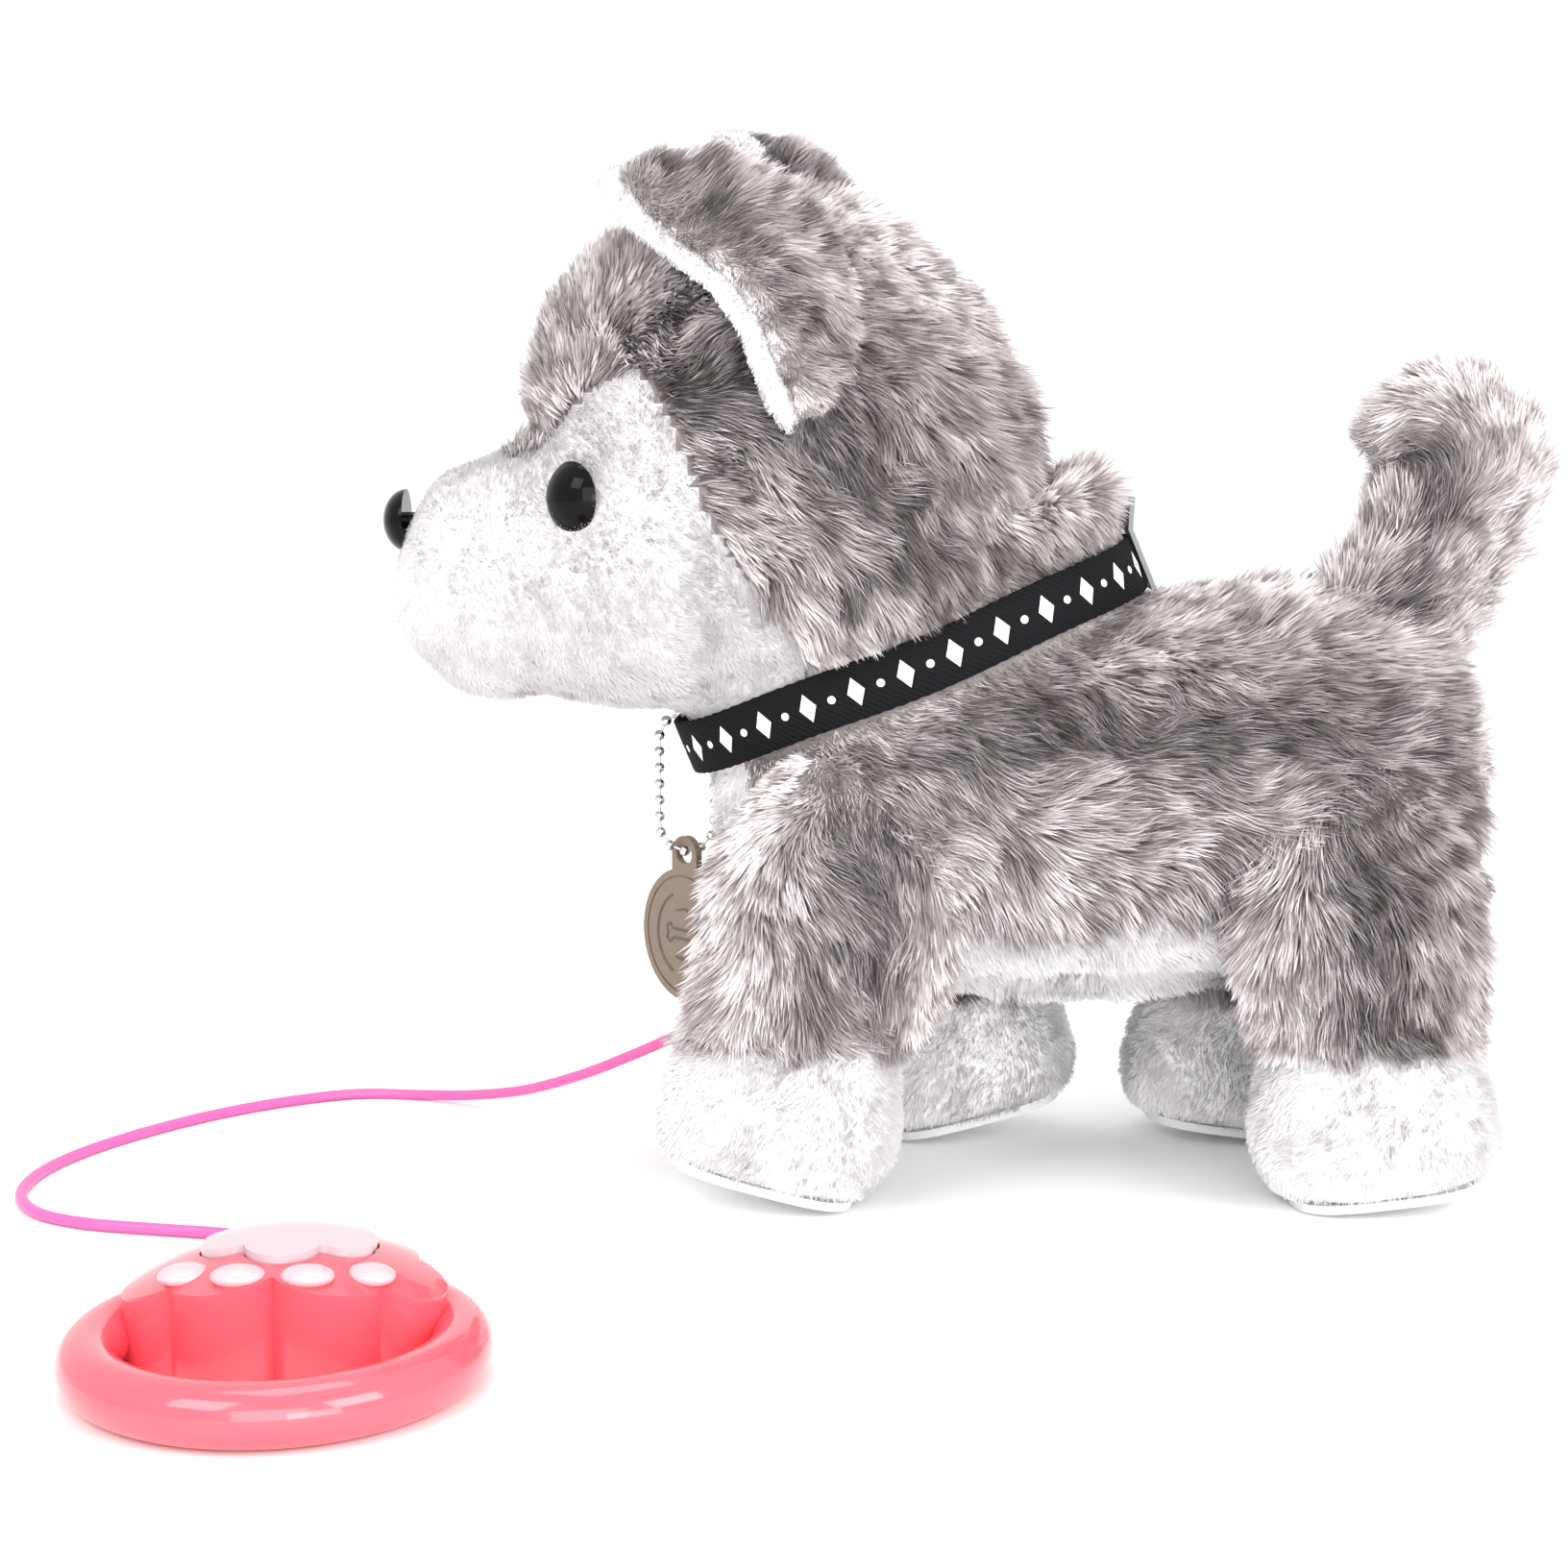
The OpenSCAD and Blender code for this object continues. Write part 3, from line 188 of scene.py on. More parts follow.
cord_line = rounded_route(cord_route, 6)
cord_vinyl = new_material("cord_vinyl", (0.72, 0.095, 0.33), 0.4, Coat_Weight=0.15, Coat_Roughness=0.2)
grain(cord_vinyl, 900, 0.06)
cord_curve = bpy.data.curves.new("leash_flex", "CURVE")
cord_curve.dimensions = "3D"
cord_curve.bevel_depth = cord_width / 2 * MM
cord_curve.bevel_resolution = 6
cord_spline = cord_curve.splines.new("POLY")
cord_spline.points.add(len(cord_line) - 1)
for spot, place in zip(cord_spline.points, cord_line * MM):
    spot.co = (*place, 1)
cord_curve.materials.append(cord_vinyl)
leash = bpy.data.objects.new("leash_flex", cord_curve)
scene.collection.objects.link(leash)
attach(leash, "root")
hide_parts("leash_cord")


def finish_node(node_name, material):
    """A piece that keeps its own shape gets its finish."""
    piece = frame["nodes"][node_name]
    piece.data.materials.clear()
    piece.data.materials.append(material)
    return piece


for fitting in ("cord_gland", "strain_relief"):
    finish_node(fitting, cord_vinyl)

# ---- Plush pattern ----
# The dog is sewn from shag plush: cloth tubes for trunk, neck, head, legs and tail, with the pile
# on the outside. Each cloth form is a set of rings, joined and rounded over, before the pile goes on.


def superoval(a, b, sides, e):
    """An oval between an ellipse (e = 2) and a rounded oblong."""
    t = 2 * pi * np.arange(sides) / sides
    c, s = np.cos(t), np.sin(t)
    return np.stack([a * np.sign(c) * np.abs(c) ** (2 / e), b * np.sign(s) * np.abs(s) ** (2 / e)], 1)


def tube_faces(rings, sides):
    """Faces that join each ring to the next, with a flat end at each side."""
    faces = []
    for i in range(rings - 1):
        for j in range(sides):
            k = (j + 1) % sides
            faces.append((i * sides + j, (i + 1) * sides + j, (i + 1) * sides + k, i * sides + k))
    faces.append(tuple(range(sides)))
    faces.append(tuple(range(rings * sides - 1, (rings - 1) * sides - 1, -1)))
    return faces


def ring_tube(rings, y=0, e=2.2, sides=32):
    """A closed tube through rings of (x, z, lean, half across, half wide)."""
    points = []
    for x, z, lean, a, b in rings:
        oval = superoval(a, b, sides, e)
        lean = radians(lean)
        points.append(np.stack([x + oval[:, 0] * cos(lean), y + oval[:, 1], z + oval[:, 0] * sin(lean)], 1))
    return np.vstack(points), tube_faces(len(rings), sides)


def stuffed_ball(centre, radii):
    """A closed ellipsoid as a tube of rings stacked along z."""
    rings = []
    for h in np.sin(np.linspace(-pi / 2 * 0.98, pi / 2 * 0.98, 14)):
        waist = sqrt(1 - h * h)
        rings.append((centre[0], centre[2] + radii[2] * h, 0, radii[0] * waist, radii[1] * waist))
    return ring_tube(rings, y=centre[1], e=2, sides=24)


def sewn_form(parts, voxel, rounds):
    """One smooth closed cloth surface over several overlapping tubes, as arrays."""
    points, faces, start = [], [], 0
    for part_points, part_faces in parts:
        points.append(part_points)
        faces += [tuple(i + start for i in f) for f in part_faces]
        start += len(part_points)
    mesh = bpy.data.meshes.new("form")
    mesh.from_pydata([tuple(p) for p in np.vstack(points) * MM], [], faces)
    form = bpy.data.objects.new("form", mesh)
    scene.collection.objects.link(form)
    remesh = form.modifiers.new("join", "REMESH")
    remesh.mode = "VOXEL"
    remesh.voxel_size = voxel * MM
    smooth = form.modifiers.new("round", "SMOOTH")
    smooth.factor = 0.5
    smooth.iterations = rounds
    bpy.context.view_layer.update()
    done = form.evaluated_get(bpy.context.evaluated_depsgraph_get()).to_mesh()
    co = np.zeros(len(done.vertices) * 3)
    done.vertices.foreach_get("co", co)
    normal = np.zeros(len(done.vertices) * 3)
    done.vertices.foreach_get("normal", normal)
    done.calc_loop_triangles()
    triangles = np.zeros(len(done.loop_triangles) * 3, int)
    done.loop_triangles.foreach_get("vertices", triangles)
    bpy.data.objects.remove(form)
    return co.reshape(-1, 3) / MM, normal.reshape(-1, 3), triangles.reshape(-1, 3)


def unit(v):
    return v / np.maximum(np.linalg.norm(v, axis=-1, keepdims=True), 1e-9)


def drift(points, wavelength, rng):
    """A smooth random number, about -1 to 1, for each point in space."""
    total = np.zeros(len(points))
    for _ in range(7):
        wave = unit(rng.normal(size=3)) * 2 * pi / (wavelength * rng.uniform(0.7, 1.5))
        total += np.sin(points @ wave + rng.uniform(0, 2 * pi))
    return total / 3.2


def pile_material(name, root, dark_tip, light_tip, reach, sheen):
    """Fibre colour from the root colour to the fibre's own tip colour, which lies between dark and light."""
    material = new_material(name, light_tip, 0.7, Sheen_Weight=sheen, Sheen_Roughness=0.6,
                            Specular_IOR_Level=0.12)
    chart = add_node(material, "UVMap", uv_map="OFBake")
    split = add_node(material, "SeparateXYZ")
    rise = add_node(material, "MapRange", From_Max=reach, interpolation_type="SMOOTHSTEP")
    tips = add_node(material, "MixRGB", Color1=(*dark_tip, 1), Color2=(*light_tip, 1))
    whole = add_node(material, "MixRGB", Color1=(*root, 1))
    wire(material, chart.outputs["UV"], split.inputs["Vector"])
    wire(material, split.outputs["X"], tips.inputs["Fac"])
    wire(material, split.outputs["Y"], rise.inputs["Value"])
    wire(material, rise.outputs["Result"], whole.inputs["Fac"])
    wire(material, tips.outputs["Color"], whole.inputs["Color2"])
    wire(material, whole.outputs["Color"], shader_of(material).inputs["Base Color"])
    return material


grey_pile = pile_material("grey_shag", (0.24, 0.21, 0.208), (0.33, 0.29, 0.289),
                          (0.95, 0.895, 0.903), 0.5, 0.1)
white_pile = pile_material("white_pile", (0.80, 0.785, 0.80), (0.79, 0.775, 0.79),
                           (0.86, 0.845, 0.855), 0.6, 0.0)
# The face pile is the same white cloth as the belly, boots and ear linings, drawn darker as painted shade:
# the lamps light the face most, and the darker colour holds it to the tone of the rest.
shaded_face_pile = pile_material("shaded_face_pile", (0.64, 0.625, 0.64), (0.62, 0.605, 0.615),
                          (0.70, 0.685, 0.695), 0.6, 0.0)


def plush(name, form, wanted, material, count, length, flow, seed, lift=0.6, width=0.25, clump=2.8, pull=0.45,
          wander=0.6):
    """Cloth backing with its pile, as one mesh. wanted picks the faces of the form that carry pile, and count
    is the number of fibres. length and width are in millimetres, and flow is the way the fibres are combed.
    lift runs from 0, lying down, to 1, upright. Fibres are pulled into locks about clump apart, and wander
    turns them off the comb."""
    rng = np.random.default_rng(seed)
    co, normal, triangles = form
    kept = triangles[wanted(co[triangles].mean(1))]
    corner = co[kept]
    area = np.linalg.norm(np.cross(corner[:, 1] - corner[:, 0], corner[:, 2] - corner[:, 0]), axis=1) / 2
    pick = np.searchsorted(np.cumsum(area) / area.sum(), rng.random(count))
    pick = np.minimum(pick, len(kept) - 1)
    mix = rng.dirichlet((1, 1, 1), count)[:, :, None]
    root = (corner[pick] * mix).sum(1)
    up = unit((normal[kept[pick]] * mix).sum(1))
    comb = flow(root)
    comb = unit(comb - up * (comb * up).sum(1, keepdims=True))
    twist = wander * (drift(root, 30, rng) + 0.7 * drift(root, 11, rng))[:, None]
    comb = comb * np.cos(twist) + np.cross(up, comb) * np.sin(twist)
    long = (length(root) if callable(length) else np.full(count, length)) * rng.uniform(0.7, 1.12, count)
    rise = np.clip(lift + 0.16 * drift(root, 12, rng) + rng.normal(0, 0.07, count), 0.12, 0.97)
    lean = unit(comb * np.sqrt(1 - rise**2)[:, None] + up * rise[:, None] + rng.normal(0, 0.10, (count, 3)))
    tip = root + lean * long[:, None]
    lock_count = max(int(area.sum() / clump**2), 8)
    tree = kdtree.KDTree(lock_count)
    for i in range(lock_count):
        tree.insert(root[i], i)
    tree.balance()
    lock = np.array([tree.find(place)[1] for place in root])
    gather = pull * rng.uniform(0.3, 1.0, count)[:, None]
    tip = tip + (tip[lock] - tip) * gather
    tip = root + unit(tip - root) * (long * rng.uniform(0.82, 1.1, lock_count)[lock])[:, None]
    bend = root + (tip - root) * 0.55 + up * (long * 0.07)[:, None]
    across = unit(np.cross(tip - root, up))
    turn = rng.uniform(-0.6, 0.6, count)[:, None]
    across = across * np.cos(turn) + up * np.sin(turn)
    half = width / 2 * rng.uniform(0.7, 1.3, count)[:, None]
    base = root - up * 0.4
    corners = [base + across * half, bend + across * half * 0.9, tip, base - across * half]
    fibre = np.stack(corners, 1).reshape(-1, 3)
    # Dark and light patches of fibre tips: partly the pile's own uneven tone and dark undertone, partly
    # painted shade of the gaps where the locks part.
    mottle_and_parting_shade = 0.55 * drift(root, 15, rng) + 0.9 * drift(root, 5.0, rng)
    shade = 0.52 + 0.26 * mottle_and_parting_shade + 0.20 * rng.normal(size=lock_count)[lock]
    shade = shade + 0.18 * rng.normal(size=count)
    shade = np.clip(shade, 0.004, 0.996)

    used, renumbered = np.unique(kept, return_inverse=True)
    points = np.vstack([co[used], fibre])
    first = len(used) + 4 * np.arange(count)
    loops = np.concatenate([renumbered.reshape(-1), (first[:, None] + np.arange(4)).reshape(-1)])
    sizes = np.concatenate([np.full(len(kept), 3), np.full(count, 4)])
    mesh = bpy.data.meshes.new(name)
    mesh.vertices.add(len(points))
    mesh.vertices.foreach_set("co", (points * MM).astype(np.float32).reshape(-1))
    mesh.loops.add(len(loops))
    mesh.loops.foreach_set("vertex_index", loops.astype(np.int32))
    mesh.polygons.add(len(sizes))
    mesh.polygons.foreach_set("loop_start", (np.cumsum(sizes) - sizes).astype(np.int32))
    mesh.polygons.foreach_set("use_smooth", np.ones(len(sizes), bool))
    chart = mesh.uv_layers.new(name="OFBake")
    fibre_uv = np.stack([np.stack([shade, np.full(count, v)], 1) for v in (0.02, 0.55, 0.98, 0.02)], 1)
    uv = np.vstack([np.tile([0.35, 0.02], (len(kept) * 3, 1)), fibre_uv.reshape(-1, 2)])
    chart.data.foreach_set("uv", uv.astype(np.float32).reshape(-1))
    mesh.update(calc_edges=True)
    mesh.materials.append(material)
    piece = bpy.data.objects.new(name, mesh)
    scene.collection.objects.link(piece)
    return piece


# ---- Trunk, neck and head ----
# One grey and white skin from rump to muzzle. The collar sits in the neck, where the pile is clipped.
# White cloth makes the belly, the chest, the throat, and the face up to a peak above each eye.

trunk_rings = [
    (78, 88, 90, 12, 16), (75, 87.5, 90, 23, 27), (66, 88, 90, 33, 33), (46, 87, 90, 39.5, 36.5),
    (10, 87, 90, 40, 37), (-25, 86, 90, 40, 37), (-50, 84, 90, 39, 35.5), (-64, 80, 90, 34, 30),
    (-72, 77, 90, 25, 21), (-76, 76, 90, 12, 10),
]
# The belly hangs lowest between the front and the rear legs
keel_rings = [
    (38, 62, 90, 8, 5), (33, 60, 90, 17, 9), (10, 58, 90, 19, 10.5), (-20, 58, 90, 19, 10.5),
    (-38, 60, 90, 17, 9), (-43, 62, 90, 8, 5),
]
collar_lean = radians(22.5)
collar_x, collar_z = -40.5, 115.5
collar_rows = [(-24, 54, 37), (-9, 50.3, 34), (9, 50.3, 34), (20, 52, 37)]
neck_rings = [
    (collar_x - lz * sin(collar_lean), collar_z + lz * cos(collar_lean), 22.5, a, b)
    for lz, a, b in collar_rows
]
head_rings = [
    (-52, 121, 12, 47, 37), (-60, 132, 6, 50.5, 42), (-66, 146, 0, 52, 44.5), (-68.5, 161, 0, 52, 45),
    (-71, 176, 0, 49.5, 43.5), (-73, 188, 0, 43.5, 39.5), (-73, 199, 0, 34, 32), (-71, 207, 0, 21, 20),
    (-70, 211, 0, 8, 8),
]
face_rings = [
    (-90, 141, 90, 37, 43.5), (-104, 138, 90, 33.5, 39), (-114, 136, 90, 29.5, 32),
    (-124, 134.5, 90, 26.5, 26.5), (-134, 133.5, 90, 23.5, 23.5), (-143, 133, 90, 20.5, 21),
    (-148.5, 130.5, 90, 14.5, 15.5), (-152.3, 129.5, 90, 7, 8),
]
body_form = sewn_form(
    [
        ring_tube(trunk_rings, e=2.4),
        ring_tube(keel_rings, e=2.0),
        ring_tube(neck_rings, e=2.0),
        ring_tube(head_rings, e=2.1),
        ring_tube(face_rings, e=2.2),
        stuffed_ball((-139, 8, 128), (14, 12, 13.5)),
        stuffed_ball((-139, -8, 128), (14, 12, 13.5)),
        stuffed_ball((-130, 0, 117.5), (16, 16, 11.5)),
    ],
    2.4,
    6,
)


def above_collar(p):
    """Distance above the collar's plane."""
    return -(p[:, 0] - collar_x) * sin(collar_lean) + (p[:, 2] - collar_z) * cos(collar_lean)


def is_face(p):
    """White part of the head."""
    x, y, z = p[:, 0], np.abs(p[:, 1]), p[:, 2]
    behind = np.interp(z, [104, 122, 136, 149, 166, 178], [-62, -65, -77, -85, -91, -99])
    over = np.interp(y, [0, 12, 20, 38, 50], [159.5, 158, 164, 178, 178])
    return (above_collar(p) > 0) & (x < behind) & (z < over)


def is_pale(p):
    """White part of the trunk."""
    x, y, z = p[:, 0], np.abs(p[:, 1]), p[:, 2]
    belly = z < 63 + 2 * np.sin(x / 9)
    chest = (x < -52) & (y < 19)
    return (above_collar(p) <= 0) & (belly | chest)


strap_half = 6.0


def comb_trunk(p):
    low = np.clip((88 - p[:, 2]) / 45, 0, 1)[:, None]
    return np.array([1.0, 0, -0.30]) * (1 - low) + np.array([0.30, 0, -1.0]) * low


def comb_head(p):
    """Away from the muzzle over the forehead and cheeks, then down the back of the head."""
    away = unit(p - np.array([-150, 0, 150]))
    behind = np.clip((p[:, 0] + 95) / 40, 0, 1)[:, None]
    return away * (1 - 0.45 * behind) + np.array([0, 0, -1.0]) * behind


def comb_face(p):
    return p - np.array([-156, 0, 146]) + np.array([0, 0, -6.0])


def beside_strap(p):
    """Rises from 0 on the strap to 1 well away from it."""
    return np.clip((np.abs(above_collar(p)) - strap_half - 0.5) / 14, 0, 1)


def grey_length(p):
    """Full pile, shorter beside the collar."""
    return 1.0 + 8.6 * np.sqrt(beside_strap(p))


def head_length(p):
    edge = np.clip((p[:, 0] + 125) / 30, 0.0, 1.0)
    return (1.0 + 8.4 * np.sqrt(beside_strap(p))) * (0.7 + 0.3 * edge)


def face_length(p):
    """Short pile on the muzzle, longer on the cheeks, clipped beside the nose and the collar."""
    long = np.interp(p[:, 0], [-151, -145, -120, -90, -65], [0.5, 1.8, 2.2, 2.6, 3.4])
    return long * (0.2 + 0.8 * np.sqrt(beside_strap(p)))


def belly_length(p):
    return 3.6 * (0.2 + 0.8 * np.sqrt(beside_strap(p)))


trunk_plush = plush("trunk_plush", body_form, lambda p: (above_collar(p) <= 0) & ~is_pale(p), grey_pile,
                    88000, grey_length, comb_trunk, 11)
belly_plush = plush("belly_plush", body_form, is_pale, white_pile, 34000, belly_length, comb_trunk, 12,
                    lift=0.7, width=0.16, clump=3, pull=0.3)
head_plush = plush("head_plush", body_form, lambda p: (above_collar(p) > 0) & ~is_face(p), grey_pile, 88000,
                   head_length, comb_head, 13)
face_plush = plush("face_plush", body_form, is_face, shaded_face_pile, 52000, face_length, comb_face, 14, lift=0.7,
                   width=0.13, clump=2.5, pull=0.2)
for piece, node in ((trunk_plush, "body_skin"), (belly_plush, "belly_skin"), (head_plush, "head_skin"),
                    (face_plush, "face_skin")):
    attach(piece, "root")
    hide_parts(node)

# ---- Legs ----
# Four stuffed trouser legs: grey shag above, a white boot below, and a flat ribbed sole glued underneath.
# The top of each leg is sewn to the trunk. The white boot and the sole ride on the leg's frame, and the grey
# trouser stays in the shared frame.

leg_length = 96.5
foot_side = 29
hip_front = (-48, 98.39)
hip_rear = (48, 98.22)
leg_rings = [
    (-94.6, 21, 16), (-92, 23.6, 18.2), (-85, 25.2, 19.8), (-77, 24.8, 19.6), (-70, 22.2, 18.4),
    (-62, 20, 17.2), (-52, 20.5, 16.6), (-41, 22.5, 16.4), (-28, 23, 14.5), (-15, 20.5, 11), (-5, 14, 7),
]
boot_top = 37
trouser_top = 96
sole_sides, sole_rows, sole_thick = 64, 9, 1.9
rib_pitch, rib_height = 1.6, 0.22


def leg_place(hip, swing, local):
    """Points given about the hip, turned by the leg's swing, in the shared frame."""
    a = radians(swing)
    x, y, z = np.asarray(local, float).T
    return np.stack([hip[0] + x * cos(a) + z * sin(a), y, hip[1] - x * sin(a) + z * cos(a)], 1)


def comb_leg(p):
    return np.tile([0.15, 0, -1.0], (len(p), 1))


def comb_boot(p):
    return np.tile([-0.35, 0, -1.0], (len(p), 1))


def trouser_length(p):
    """Full shag down the leg, shorter at the boot and clipped where the leg meets the flank."""
    return np.interp(p[:, 2], [boot_top, 45, 60, 74, 90], [7.0, 9.5, 10.5, 10.0, 4.0])


def boot_length(p):
    return np.interp(p[:, 2], [0, 6, 14, 38], [1.0, 1.8, 2.8, 3.0])


sole_cloth = new_material("sole_cloth", (0.86, 0.87, 0.86), 0.75, Sheen_Weight=0.2)
grain(sole_cloth, 1500, 0.25)

for leg_index, (leg_name, hip, swing, side) in enumerate((
    ("front_left", hip_front, 15, -1), ("front_right", hip_front, -15, 1),
    ("rear_left", hip_rear, -7, -1), ("rear_right", hip_rear, 7, 1),
)):
    points, faces = ring_tube([(0, z, 0, a, b) for z, a, b in leg_rings], y=side * foot_side, e=2.3)
    points = leg_place(hip, swing, points)
    leg_form = sewn_form([(points, faces)], 2.0, 3)
    trouser = plush(leg_name + "_trouser", leg_form, lambda p: (p[:, 2] > boot_top) & (p[:, 2] < trouser_top),
                    grey_pile, 34000, trouser_length, comb_leg, 21 + leg_index)
    boot = plush(leg_name + "_boot", leg_form, lambda p: p[:, 2] <= boot_top + 3, white_pile, 26000,
                 boot_length, comb_boot, 31 + leg_index, lift=0.75, width=0.15, clump=3, pull=0.2)
    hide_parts(leg_name + "_sleeve")
    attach(boot, leg_name)
    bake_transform(trouser)

    outline = superoval(20, 16, sole_sides, 3.2)
    sole_points = []
    for layer in (0.0, sole_thick):
        for k in range(sole_rows + 1):
            spread = max(k / sole_rows, 0.001)
            ribbed = layer == 0 and k < sole_rows
            rib = rib_height * np.sin(outline[:, 0] * spread * 2 * pi / rib_pitch) if ribbed else 0
            level = np.full(sole_sides, -leg_length + 0.25 + layer) + rib
            ring = [outline[:, 0] * spread, outline[:, 1] * spread + side * foot_side, level]
            sole_points.append(np.stack(ring, 1))
    sole_points = leg_place(hip, swing, np.vstack(sole_points))
    sole_faces, rims = [], []
    for k in range(2 * sole_rows + 1):
        for j in range(sole_sides):
            a, b = k * sole_sides + j, k * sole_sides + (j + 1) % sole_sides
            if k == sole_rows:
                rims.append((a, b, b + (sole_rows + 1) * sole_sides, a + (sole_rows + 1) * sole_sides))
            else:
                sole_faces.append((a, b, b + sole_sides, a + sole_sides))
    sole_faces += rims
    sole = mesh_piece(leg_name + "_ribbed_sole", sole_points, sole_faces, sole_cloth, leg_name)
    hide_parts(leg_name + "_sole")

# ---- Ears ----
# Two soft triangular flaps of grey shag, folded forward, with short white pile on the inner side.
# The white shows as a strip along each front edge. The right ear stands more upright than the left.

# Front and back edge of the left ear from its root to its tip: x, y, z of the front, then of the back
ear_edges = [
    (-65, -49, 165.5, -62, -46, 169), (-68, -51.5, 170.5, -59, -45, 174.5), (-71.5, -53, 179, -58, -44, 184),
    (-73.5, -53, 185, -58.5, -43, 192), (-79.5, -52, 193, -61.5, -41, 200.5),
    (-89, -50, 200, -68, -39.5, 209), (-97, -47, 206.5, -79.5, -39, 215.5),
    (-101.5, -44, 212.5, -91, -39.5, 217), (-101.5, -42.5, 216, -98, -41, 217),
]
ear_half_thick = [2.5, 3.6, 4.2, 4.4, 4.4, 4.2, 3.8, 3.2, 2.0]


def flap(edges, thick, e=2.2, sides=26):
    """A closed flap between a front and a back edge."""
    rings = []
    oval = superoval(1, 1, sides, e)
    for edge, half in zip(edges, thick):
        front, back = np.array(edge[:3], float), np.array(edge[3:], float)
        out = unit(np.cross(back - front, np.array([-0.45, 0, 1.0])))
        rings.append((front + back) / 2 + oval[:, :1] * (back - front) / 2 + oval[:, 1:] * out * half)
    return np.vstack(rings), tube_faces(len(rings), sides)


def stand_up(p, side, turn):
    """Turns an ear about its root and puts it on its side of the head."""
    a = radians(turn)
    root_x, root_z = -62, 172
    x, z = p[:, 0] - root_x, p[:, 2] - root_z
    raised = root_z + 0.14 * turn
    return np.stack([root_x + x * cos(a) + z * sin(a), -side * p[:, 1], raised - x * sin(a) + z * cos(a)], 1)


def comb_ear(p):
    return np.tile([0.75, 0, -0.25], (len(p), 1)) + (p - np.array([-80, 0, 195])) * np.array([0.02, 0, 0.03])


grey_inset = 1.6
lining_back, lining_half_thick = 4.2, [1.2, 1.9, 1.8, 1.7, 1.7, 1.8, 2.0, 2.0, 1.4]

for ear_name, side, turn, seed in (("left", -1, 0, 51), ("right", 1, 24, 55)):
    grey_edges = []
    for edge in ear_edges:
        front, back = np.array(edge[:3]), np.array(edge[3:])
        grey_edges.append((*(front + unit(back - front) * grey_inset), *edge[3:]))
    points, faces = flap(grey_edges, ear_half_thick)
    front_line = stand_up(rounded_route([e[:3] for e in ear_edges], 5), side, turn)
    ear_form = sewn_form([(stand_up(points, side, turn), faces)], 1.3, 3)

    def ear_length(p):
        """Clipped pile along the front edge, full pile well behind it."""
        behind = np.linalg.norm(p[:, None] - front_line[None], axis=2).min(1)
        return 1.6 + 5.8 * np.clip(behind / 12 - 0.15, 0, 1)

    ear = plush(ear_name + "_ear", ear_form, lambda p: p[:, 2] > 0, grey_pile, 30000, ear_length, comb_ear,
                seed)
    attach(ear, "root")
    lining_edges = []
    for edge in ear_edges:
        front, back = np.array(edge[:3]), np.array(edge[3:])
        run = unit(back - front)
        lining_front = front - run * lining_back + [0, 1.8, 0]
        lining_edges.append((*lining_front, *(front + (back - front) * 0.7 + [0, 5.0, 0])))
    points, faces = flap(lining_edges, lining_half_thick)
    lining_form = sewn_form([(stand_up(points, side, turn), faces)], 0.9, 3)
    lining = plush(ear_name + "_ear_lining", lining_form, lambda p: p[:, 2] > 0, white_pile, 26000, 1.3,
                   comb_ear, seed + 1, lift=0.7, width=0.24, clump=3, pull=0.2)
    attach(lining, "root")
    if side < 0:
        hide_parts("ears")
        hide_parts("ear_linings")

# ---- Tail ----
# A curled and stuffed tube of the same grey shag.
# It stands on a sprung peg and is sewn to the rump at its root.

tail_rings = [
    (60, 113, -37, 14, 13), (67.5, 127, -37, 12.5, 12), (73, 136, -32, 12.5, 12), (77.5, 145, -22, 13, 12.5),
    (79.5, 154, -6, 13.3, 12.8), (78, 161, 18, 12.6, 12), (73.5, 165.5, 44, 10.5, 10.5),
    (68.5, 167, 60, 8, 8), (65, 167, 70, 4, 4),
]
tail_form = sewn_form([ring_tube(tail_rings, e=2)], 1.8, 3)
tail_line = np.array([(r[0], 0, r[1]) for r in tail_rings], float)


def comb_tail(p):
    gap = np.linalg.norm(p[:, None] - tail_line[None], axis=2)
    near = np.clip(gap.argmin(1), 0, len(tail_line) - 2)
    return tail_line[near + 1] - tail_line[near]


tail_plush = plush("tail_plush", tail_form, lambda p: p[:, 2] > 112, grey_pile, 46000, 10.0, comb_tail, 41,
                   lift=0.55)
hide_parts("tail_skin")
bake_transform(tail_plush)

# ---- Collar ----
# Black twill webbing round the neck, with a white woven-look print of diamonds and dots.
# At the nape a bent grey strip grips the two cut ends of the webbing.

band_a, band_b = 52.5, 36.0
band_steps = 240
print_lift = 1.31
collar_turn = Matrix.Rotation(-collar_lean, 3, "Y")


def collar_place(local):
    """Points given in the collar's own plane, in the shared frame."""
    turned = np.asarray(local, float) @ np.array(collar_turn).T
    return turned + np.array([collar_x, 0, collar_z])


band_angle = 2 * pi * np.arange(band_steps + 1) / band_steps
band_line = np.stack([band_a * np.cos(band_angle), band_b * np.sin(band_angle)], 1)
band_run = np.concatenate([[0], np.cumsum(np.linalg.norm(np.diff(band_line, axis=0), axis=1))])
band_length = band_run[-1]


def band_point(run, across, lift):
    """A point on the band: run along it from the nape, across it, and lift off its inner face."""
    angle = np.interp(np.mod(run, band_length), band_run, band_angle)
    x, y = band_a * np.cos(angle), band_b * np.sin(angle)
    out = unit(np.stack([np.cos(angle) / band_a, np.sin(angle) / band_b], -1))
    sag = 0.35 * np.sin(run / 9.0)
    return np.stack([x + out[..., 0] * lift, y + out[..., 1] * lift, across + sag + 0 * x], -1)


